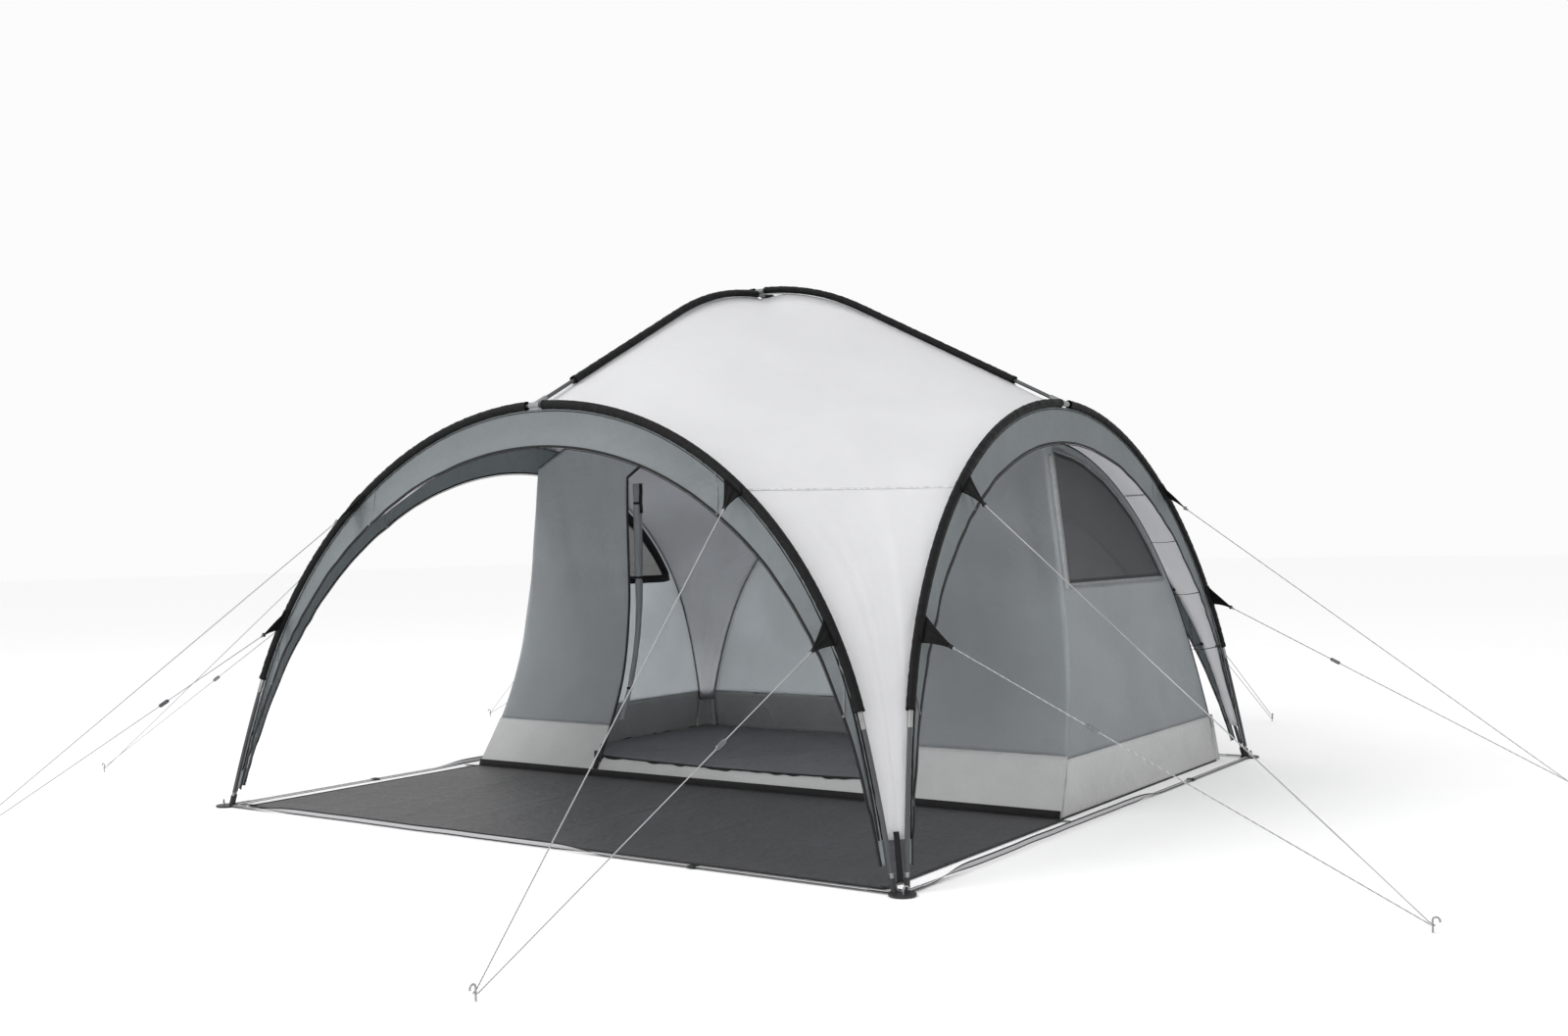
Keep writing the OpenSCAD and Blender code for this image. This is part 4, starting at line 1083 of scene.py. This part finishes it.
def front_wall():
    jamb_top = float(door_head(DOOR_HALF))
    top_at_jamb = float(inner_ridge(DOOR_HALF)) - ROOF_GAP
    share = (jamb_top - TUB) / (top_at_jamb - TUB)
    t = np.concatenate([np.linspace(0, share, 46), np.linspace(share, 1, 22)[1:]])[:, None]
    s = np.linspace(0, 1, 34)[None, :]
    x_low = side_edge(TUB) + (DOOR_HALF - side_edge(TUB)) * s
    x_top = INNER_REACH + (DOOR_HALF - INNER_REACH) * s
    x = x_low + (x_top - x_low) * t
    z = TUB + (inner_ridge(x_top) - ROOF_GAP - TUB) * t
    right = front_point(x, z)[:, ::-1]
    left = front_point(-x, z)
    above = t[t[:, 0] >= share - 1e-9]
    across = np.linspace(-DOOR_HALF, DOOR_HALF, 69)[None, :]
    rise = (above - share) / (1 - share)
    head = door_head(across) + (inner_ridge(across) - ROOF_GAP - door_head(across)) * rise
    middle = front_point(across + 0 * head, head)
    wall = build("inner_front", [sheet_part(left), sheet_part(middle), sheet_part(right)], weld=True)
    piece(wall, INNER_CLOTH, "inner_fabric", "inner_front_wall")
    cloth(wall, area=area_of(wall))

    jamb_z = np.linspace(THRESHOLD, jamb_top, 60)
    arch_x = np.linspace(DOOR_HALF, -DOOR_HALF, 70)
    right_jamb = front_point(0 * jamb_z + DOOR_HALF, jamb_z)
    left_jamb = front_point(0 * jamb_z - DOOR_HALF, jamb_z)[::-1]
    head_line = front_point(arch_x, door_head(arch_x))
    outline = np.concatenate([right_jamb, head_line[1:-1], left_jamb])
    trims = [taped(outline - 0.0025 * BACK, 0.016, 0.0022, -BACK)]
    coil = [swept_part(outline - 0.0045 * BACK, circle(0.0026, 8), -BACK)]
    drop = np.linspace(-1, 1, 81)
    sill = front_point(drop * DOOR_HALF, sill_height(drop))
    trims.append(taped(sill - 0.002 * BACK, 0.016, 0.0018, -BACK))
    piece(build("door_trim", trims), TRIM_WEB, "black_webbing")
    piece(build("door_zip_coil", coil), ZIP_TAPE, "zip_coil")


def sill_height(t):
    """Height of the doorway's sill, which sags between its jambs."""
    return THRESHOLD - 0.012 * (1 - np.square(t))


def arch_reach(arcs, w):
    """Half the arch's width at each height up its plane."""
    turns = np.linspace(0, arcs[2, 2], 2000)
    points = at_turn(arcs, turns)
    foot = at_turn(arcs, INNER_END)
    reach = np.interp(-w, -points[:, 1], points[:, 0])
    return np.where(w < foot[1], foot[0], reach)


def side_wall(k, name):
    """A side wall with its curved outer edge, its kicked-forward foot and a window opening."""
    turn_sign = 1 if k == 1 else -1
    inset = parallel(INNER, WINDOW_EDGE)
    peak_turn = np.linspace(0, 78, 4000)
    inset_points = at_turn(inset, peak_turn)
    window_top = float(np.interp(WINDOW_FRONT, inset_points[:, 0], inset_points[:, 1]))
    heights = np.concatenate([np.linspace(TUB / math.cos(LEAN), WINDOW_SILL, 30),
                              np.linspace(WINDOW_SILL, window_top, 26)[1:],
                              np.linspace(window_top, INNER_RISE - 0.0004, 8)[1:]])
    outer = arch_reach(INNER, heights)
    front = -flare(heights * math.cos(LEAN))
    a = np.minimum(np.full_like(heights, WINDOW_FRONT), outer)
    b = np.where(heights < window_top, np.maximum(arch_reach(inset, heights), WINDOW_FRONT), a)
    b = np.minimum(np.maximum(b, a), outer)
    columns = [front + (a - front) * i for i in np.linspace(0, 1, 9)]
    columns += [a + (b - a) * i for i in np.linspace(0, 1, 31)[1:]]
    columns += [b + (outer - b) * i for i in np.linspace(0, 1, 7)[1:]]
    u = np.stack(columns, 1)
    w = np.broadcast_to(heights[:, None], u.shape)
    keep = np.ones((len(heights) - 1, u.shape[1] - 1), bool)
    mid = (heights[:-1] + heights[1:]) / 2
    keep[mid > WINDOW_SILL, WINDOW_CELLS] = False
    edge = np.minimum(u - front[:, None], outer[:, None] - u)
    calm = step(TUB, TUB + 0.15, w)
    out = -INNER_GAP - 0.006 * calm * step(0, 0.3, edge) * ripple(w + 0.3 * u, 0.7, 700 + k)
    out = out - 0.004 * calm * step(0, 0.2, edge) * ripple(u - 0.5 * w, 0.33, 705 + k)
    grid = on_plane(k, np.stack([turn_sign * u, w], -1), out)
    wall = build("inner_" + name, [sheet_part(grid, keep)])
    piece(wall, INNER_CLOTH, "inner_fabric", "inner_" + name + "_wall")
    cloth(wall, area=area_of(wall))

    normal = plane_normal(k)
    rows = np.where((mid > WINDOW_SILL) & (mid < window_top))[0]
    pane = grid[rows[0]:rows[-1] + 2, WINDOW_CELLS.start:WINDOW_CELLS.stop + 1] - normal * 0.001
    mesh = build("window_net_" + name, [sheet_part(pane)])
    piece(mesh, MESH_CLOTH, "mesh_fabric", "window_mesh_" + name)
    cloth(mesh, area=area_of(mesh))

    border = np.concatenate([pane[0, :-1], pane[:-1, -1], pane[::-1, 0]])
    closed = np.concatenate([border, border[:1]])
    outside = taped(closed + normal * 0.0018, 0.014, 0.0014, normal, caps=False)
    piece(build("window_seam_" + name, [outside]), BAND_TAPE, "inner_fabric")
    inside = taped(closed - normal * 0.0022, 0.044, 0.0016, normal, caps=False)
    piece(build("window_trim_" + name, [inside]), TRIM_WEB, "black_webbing")
    strip_w = np.linspace(WINDOW_SILL - 0.02, window_top - 0.02, 40)
    strip = on_plane(k, np.stack([turn_sign * (0.036 + 0 * strip_w), strip_w], -1), -INNER_GAP + 0.0022)
    seam = taped(strip, 0.040, 0.0012, normal)
    piece(build("wall_seam_" + name, [seam]), WALL_TAPE, "inner_fabric")


def rear_wall():
    heights = np.concatenate([np.linspace(TUB / math.cos(LEAN), 1.25, 40),
                              np.linspace(1.25, INNER_RISE - 0.0005, 26)[1:]])
    outer = arch_reach(INNER, heights)[:, None]
    t = np.linspace(-1, 1, 91)[None, :]
    u = outer * t
    w = np.broadcast_to(heights[:, None], u.shape)
    edge = 1 - np.abs(t)
    out = -INNER_GAP - 0.008 * step(0, 0.3, edge) * ripple(u + 0.3 * w, 0.6, 720)
    out = out - 0.02 * np.exp(-np.square((np.abs(u) - 1.15 + 0.5 * (w - 0.4)) / 0.05)) * step(0.25, 0.6, w)
    grid = on_plane(2, np.stack([u, w], -1), out)
    wall = build("inner_rear", [sheet_part(grid)])
    piece(wall, INNER_CLOTH, "inner_fabric", "inner_rear_wall")
    cloth(wall, area=area_of(wall))


def ceiling():
    """Two roof quarters hung under the canopy, slack between their seams."""
    grids = []
    for k in (1, 2):
        arcs = parallel(INNER, -0.003)
        left, right, ridge = quarter_edges(arcs, -INNER_GAP, INNER_END, lambda x, _: inner_ridge(x), 48)
        grid = stretched(left, right, ridge)
        u = np.linspace(0, 1, 49)[None, :]
        v = np.linspace(0, 1, 49)[:, None]
        sag = 0.018 * np.sin(np.pi * u) * np.sin(np.pi * v)
        sag = sag + 0.006 * np.sin(np.pi * u) * np.sin(np.pi * v) * ripple(u + v, 0.3, 730 + k)
        grid = grid - unit(grid - HEART * UP) * sag[..., None]
        grids.append(turned(grid, k))
    roof = build("inner_roof", [sheet_part(g) for g in grids], weld=True)
    piece(roof, ROOF_CLOTH, "inner_fabric", "inner_ceiling")
    cloth(roof, area=area_of(roof))
    seams = []
    for g in grids:
        for column in (0, -1):
            edge = g[:, column]
            away = unit(edge - LOW_HEART * UP)
            seams.append(taped(edge + away * 0.001, 0.014, 0.0020, away))
    for g in grids:
        seams.append(taped(g[-1] + 0.001 * UP, 0.014, 0.0020, UP))
    piece(build("inner_roof_seams", seams), TRIM_WEB, "inner_fabric")


def tub():
    """The bathtub floor: a dark base, pale upstands with a drooping door sill, and corner folds."""
    base = 0.003
    z = np.linspace(base, TUB + 0.006, 12)[:, None]
    parts = []
    for side in (-1, 1):
        s = np.linspace(0, 1, 34)[None, :]
        x = side * (side_edge(z) + 0.004 + (DOOR_HALF - side_edge(z) - 0.004) * s)
        grid = front_point(x, z + 0 * x)
        slack = step(0.0, 0.1, z + 0 * x) * step(TUB, TUB - 0.06, z + 0 * x)
        grid[..., 1] -= 0.0030 + 0.004 * ripple(x, 0.33, 800) * slack
        parts.append(sheet_part(grid if side < 0 else grid[:, ::-1]))
    t = np.linspace(-1, 1, 81)[None, :]
    top = sill_height(t)
    rise = np.linspace(0, 1, 8)[:, None]
    zs = base + (top - base) * rise
    sill = front_point(t * DOOR_HALF + 0 * zs, zs)
    sill[..., 1] -= 0.0015 + 0.006 * ripple(t, 0.4, 801) * rise
    parts.append(sheet_part(sill))
    heights = np.linspace(base, TUB + 0.006, 10)[:, None] / math.cos(LEAN)
    foot = at_turn(INNER, INNER_END)[0]
    for k, sign in ((1, 1), (3, -1)):
        s = np.linspace(0, 1, 60)[None, :]
        front = -flare(heights * math.cos(LEAN)) - 0.004
        u = front + (foot - front) * s
        w = heights + 0 * u
        slack = step(0, 0.12, w) * step(TUB, TUB - 0.06, w)
        out = -INNER_GAP + 0.0030 + 0.0035 * ripple(u + 0.5 * w, 0.31, 810 + k) * slack
        parts.append(sheet_part(on_plane(k, np.stack([sign * u, w], -1), out)))
    u = np.linspace(-foot, foot, 100)[None, :] + 0 * heights
    w = heights + 0 * u
    out = -INNER_GAP + 0.0012 + 0.0035 * ripple(u, 0.31, 815) * step(0, 0.12, w) * step(TUB, TUB - 0.06, w)
    parts.append(sheet_part(on_plane(2, np.stack([u, w], -1), out)))
    for sign in (-1, 1):
        corner = []
        for height in heights[:, 0]:
            a = on_plane(1, np.array([foot, height]), -INNER_GAP + 0.0012)
            b = on_plane(2, np.array([-foot, height]), -INNER_GAP + 0.0012)
            mid = np.array([max(a[0], b[0]), max(a[1], b[1]), a[2]]) - np.array([0.006, 0.006, 0])
            corner.append([a, (a + mid) / 2, mid, (b + mid) / 2, b])
        parts.append(sheet_part(np.array(corner) * np.array([sign, 1, 1])))
    wall = build("tub_upstand", parts)
    piece(wall, TUB_CLOTH, "tub_fabric", "inner_floor")
    cloth(wall, area=area_of(wall))

    edge = HALF - INNER_GAP - 0.012
    x, y = np.meshgrid(np.linspace(-edge, edge, 150), np.linspace(-FLARE + 0.010, edge, 96))
    rim = np.minimum(np.minimum(edge - np.abs(x), y + FLARE - 0.01), edge - y)
    lift = 0.004 + 0.0022 * ripple(x + 0.4 * y, 0.5, 820) + 0.0018 * ripple(y - 0.3 * x, 0.45, 821)
    peak = 0.052 * np.exp(-np.hypot(x + 0.05, 0.8 * (y - 0.55)) / 0.16)
    ridge_line = np.exp(-np.abs(y - 0.55 + 0.18 * np.abs(x + 0.05)) / 0.05)
    ridge_line = 0.020 * ridge_line * np.exp(-np.abs(x + 0.05) / 0.8)
    z = 0.003 + (np.maximum(lift, 0.0005) + peak + ridge_line) * step(0, 0.12, rim)
    base_sheet = build("tub_floor", [sheet_part(np.stack([x, y, z], -1))])
    piece(base_sheet, FLOOR_CLOTH, "tub_fabric")
    cloth(base_sheet)

    # A black strip along the foot of the front wall, and narrower black strips along the foot of the side
    # and rear walls.
    x = np.linspace(-side_edge(0.01), side_edge(0.01), 120)
    line = np.stack([x, -flare(0 * x + 0.02) - 0.012, 0 * x + 0.018], -1)
    seams = [taped(line, 0.034, 0.0040, (0, -1, 0.3))]
    for k, start in ((1, -FLARE), (2, -foot), (3, -foot)):
        stop = FLARE if k == 3 else foot
        u = np.linspace(start, stop, 60)
        line = on_plane(k, np.stack([u, 0 * u + 0.011], -1), -INNER_GAP + 0.004)
        seams.append(taped(line, 0.014, 0.0030, plane_normal(k)))
    piece(build("tub_base_black_strip", seams), TRIM_WEB, "black_webbing")


def door_clip():
    """A black buckle with a short webbing tail and a steel ring, at the foot of the left jamb."""
    z = np.linspace(0.035, 0.150, 9)
    tail = np.stack([0 * z - DOOR_HALF - 0.004, -flare(z) - 0.010, z], -1)
    web = taped(tail, 0.030, 0.002, (0, -1, 0.2))
    centre = np.array([-DOOR_HALF - 0.004, -float(flare(np.float64(0.10))) - 0.018, 0.100])
    axes = np.eye(3)[None]
    buckle = box_parts(centre[None], axes, (0.052, 0.014, 0.040))
    bar = box_parts((centre + np.array([0.0, -0.002, -0.034]))[None], axes, (0.040, 0.009, 0.020))
    case = piece(build("door_clip", [buckle, bar]), BLACK_PLASTIC, "black_plastic")
    modified(case, "BEVEL", width=0.004, segments=3)
    piece(build("door_clip_web", [web]), TRIM_WEB, "black_webbing")
    hang = centre + np.array([0.0, -0.002, -0.055])
    ring = hang + 0.010 * swing(np.linspace(0, 2 * np.pi, 25), RIGHT, UP)
    wire = swept_part(ring, circle(0.0016, 8), BACK, caps=False)
    piece(build("door_clip_ring", [wire]), STEEL, "bright_steel")


def wall_ties():
    """Elastic ties from the inner tent's rear edges out to the pole sleeves beside them."""
    ties, hooks = [], []
    for k, sign in ((1, 1), (3, -1), (2, 1), (2, -1)):
        for height in TIE_HEIGHTS:
            inner_u = float(arch_reach(INNER, np.float64(height)))
            outer_u = float(arch_reach(ARCH, np.float64(height)))
            start = on_plane(k, np.array([sign * (inner_u - 0.004), height]), -INNER_GAP + 0.002)
            centre = on_plane(k, np.array([sign * outer_u, height]))
            aim = unit(centre - start)
            stop = centre - aim * (SLEEVE_R + 0.004)
            t = np.linspace(0, 1, 12)[:, None]
            path = start + (stop - start) * t - 0.006 * np.sin(np.pi * t) * UP
            ties.append(taped(path, 0.016, 0.0018, UP))
            side = unit(np.cross(aim, [0.0, 0.0, 1.0]))
            axes = np.stack([side, aim, np.cross(side, aim)], 1)
            hooks.append(box_parts((stop - aim * 0.004)[None], axes[None], (0.030, 0.010, 0.014)))
    piece(build("wall_ties", ties), TRIM_WEB, "black_webbing")
    piece(build("wall_tie_hooks", hooks), BLACK_PLASTIC, "black_plastic")


def door_roll():
    """The door panel rolled up tightly against the left jamb, with its zip tape on the outside."""
    low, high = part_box("door_roll")
    z = np.linspace(low[2] + 0.01, high[2] - 0.01, 48)
    centre = np.stack([0 * z + (low[0] + high[0]) / 2, 0.040 - flare(z) * step(0.98, 0.80, z), z], -1)
    share = (z - z[0]) / (z[-1] - z[0])
    girth = 0.62 + 0.38 * step(0.25, 0.75, share)
    for tie in ROLL_TIES:
        girth = girth * (1 - 0.22 * np.exp(-np.square((z - tie) / 0.016)))
    angle = np.linspace(0, 2 * np.pi * ROLL_TURNS, ROLL_TURNS * 20 + 1)
    core, rim = 0.002, 0.0225
    r = core + (rim - core) * angle / angle[-1]
    wobble = 1 + 0.04 * np.sin(3 * angle)[None, :] * ripple(z, 0.21, 900)[:, None]
    radius = r[None, :] * girth[:, None] * wobble
    grid = centre[:, None] + np.stack([radius * np.cos(angle), radius * np.sin(angle), 0 * radius], -1)
    roll = build("rolled_door", [sheet_part(grid)])
    piece(roll, INNER_CLOTH, "inner_fabric", "door_roll")
    edge = grid[:, -1]
    out = unit(edge - centre)
    high_part = z > 1.28
    tapes = [taped((edge + out * 0.001)[high_part], 0.026, 0.003, out[high_part])]
    for tie in ROLL_TIES:
        i = int(np.argmin(np.abs(z - tie)))
        loop = centre[i] + (radius[i, -1] + 0.0016) * swing(np.linspace(0, 2 * np.pi, 25), RIGHT, BACK)
        tapes.append(taped(loop, 0.012, 0.002, unit(loop - centre[i]), caps=False))
    piece(build("door_roll_ties", tapes), TRIM_WEB, "black_webbing")


def inner_hooks():
    """Elastic loops with toggles that hold the inner roof up under the canopy."""
    loops, toggles = [], []
    end = on_plane(0, at_turn(CANOPY, 0), SKIN_PLANE)
    for x in HOOK_PLACES:
        bottom = float(inner_ridge(x)) + 0.002
        top = float(ridge_height(PEAK - 0.042, -end[1], end[2], x)) - 0.030
        for side in (-1, 1):
            t = np.linspace(0, 1, 9)[:, None]
            a = np.array([x + 0.010 * side, 0.012, bottom])
            b = np.array([x + 0.002 * side, 0.012, top])
            loops.append(swept_part(a + (b - a) * t, circle(0.0014, 6), BACK))
        bar = np.linspace([x - 0.011, 0.012, top], [x + 0.011, 0.012, top], 9)
        girth = 0.003 - 0.0009 * np.cos(np.linspace(-np.pi / 2, np.pi / 2, 9))
        profile = circle(1.0, 10)[None] * girth[:, None, None]
        toggles.append(swept_part(bar, profile, UP))
    piece(build("hook_elastics", loops), ELASTIC, "elastic_cord", "inner_hooks")
    piece(build("hook_toggles", toggles), BLACK_PLASTIC, "black_plastic")


# ---- finishes for the CAD nodes that stay ----

def repaint(material, *prefixes):
    for name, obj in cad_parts.items():
        if name.startswith(prefixes):
            for slot in obj.material_slots:
                slot.material = material


def finish_frame():
    repaint(POLE, "arch_pole", "ridge_pole_side", "ridge_pole_front")
    repaint(STEEL, "pole_ferrules", "pole_tips")
    repaint(ELASTIC, "pole_shock_cords")
    repaint(GREY_PLASTIC, "apex_hubs", "peak_clip")
    repaint(BLACK_PLASTIC, "corner_feet", "strap_adjuster", "door_zip_slider")
    repaint(PEG, "corner_pegs", "guy_pegs")
    repaint(ALLOY, "runner_")


add_stage()
guy_lines()
canopy()
arch_sleeves()
ridge_sleeves()
bands()
guy_tabs()
corner_webs()
ground_straps()
groundsheet()
front_wall()
side_wall(1, "right")
side_wall(3, "left")
rear_wall()
ceiling()
tub()
door_roll()
inner_hooks()
door_clip()
wall_ties()
finish_frame()
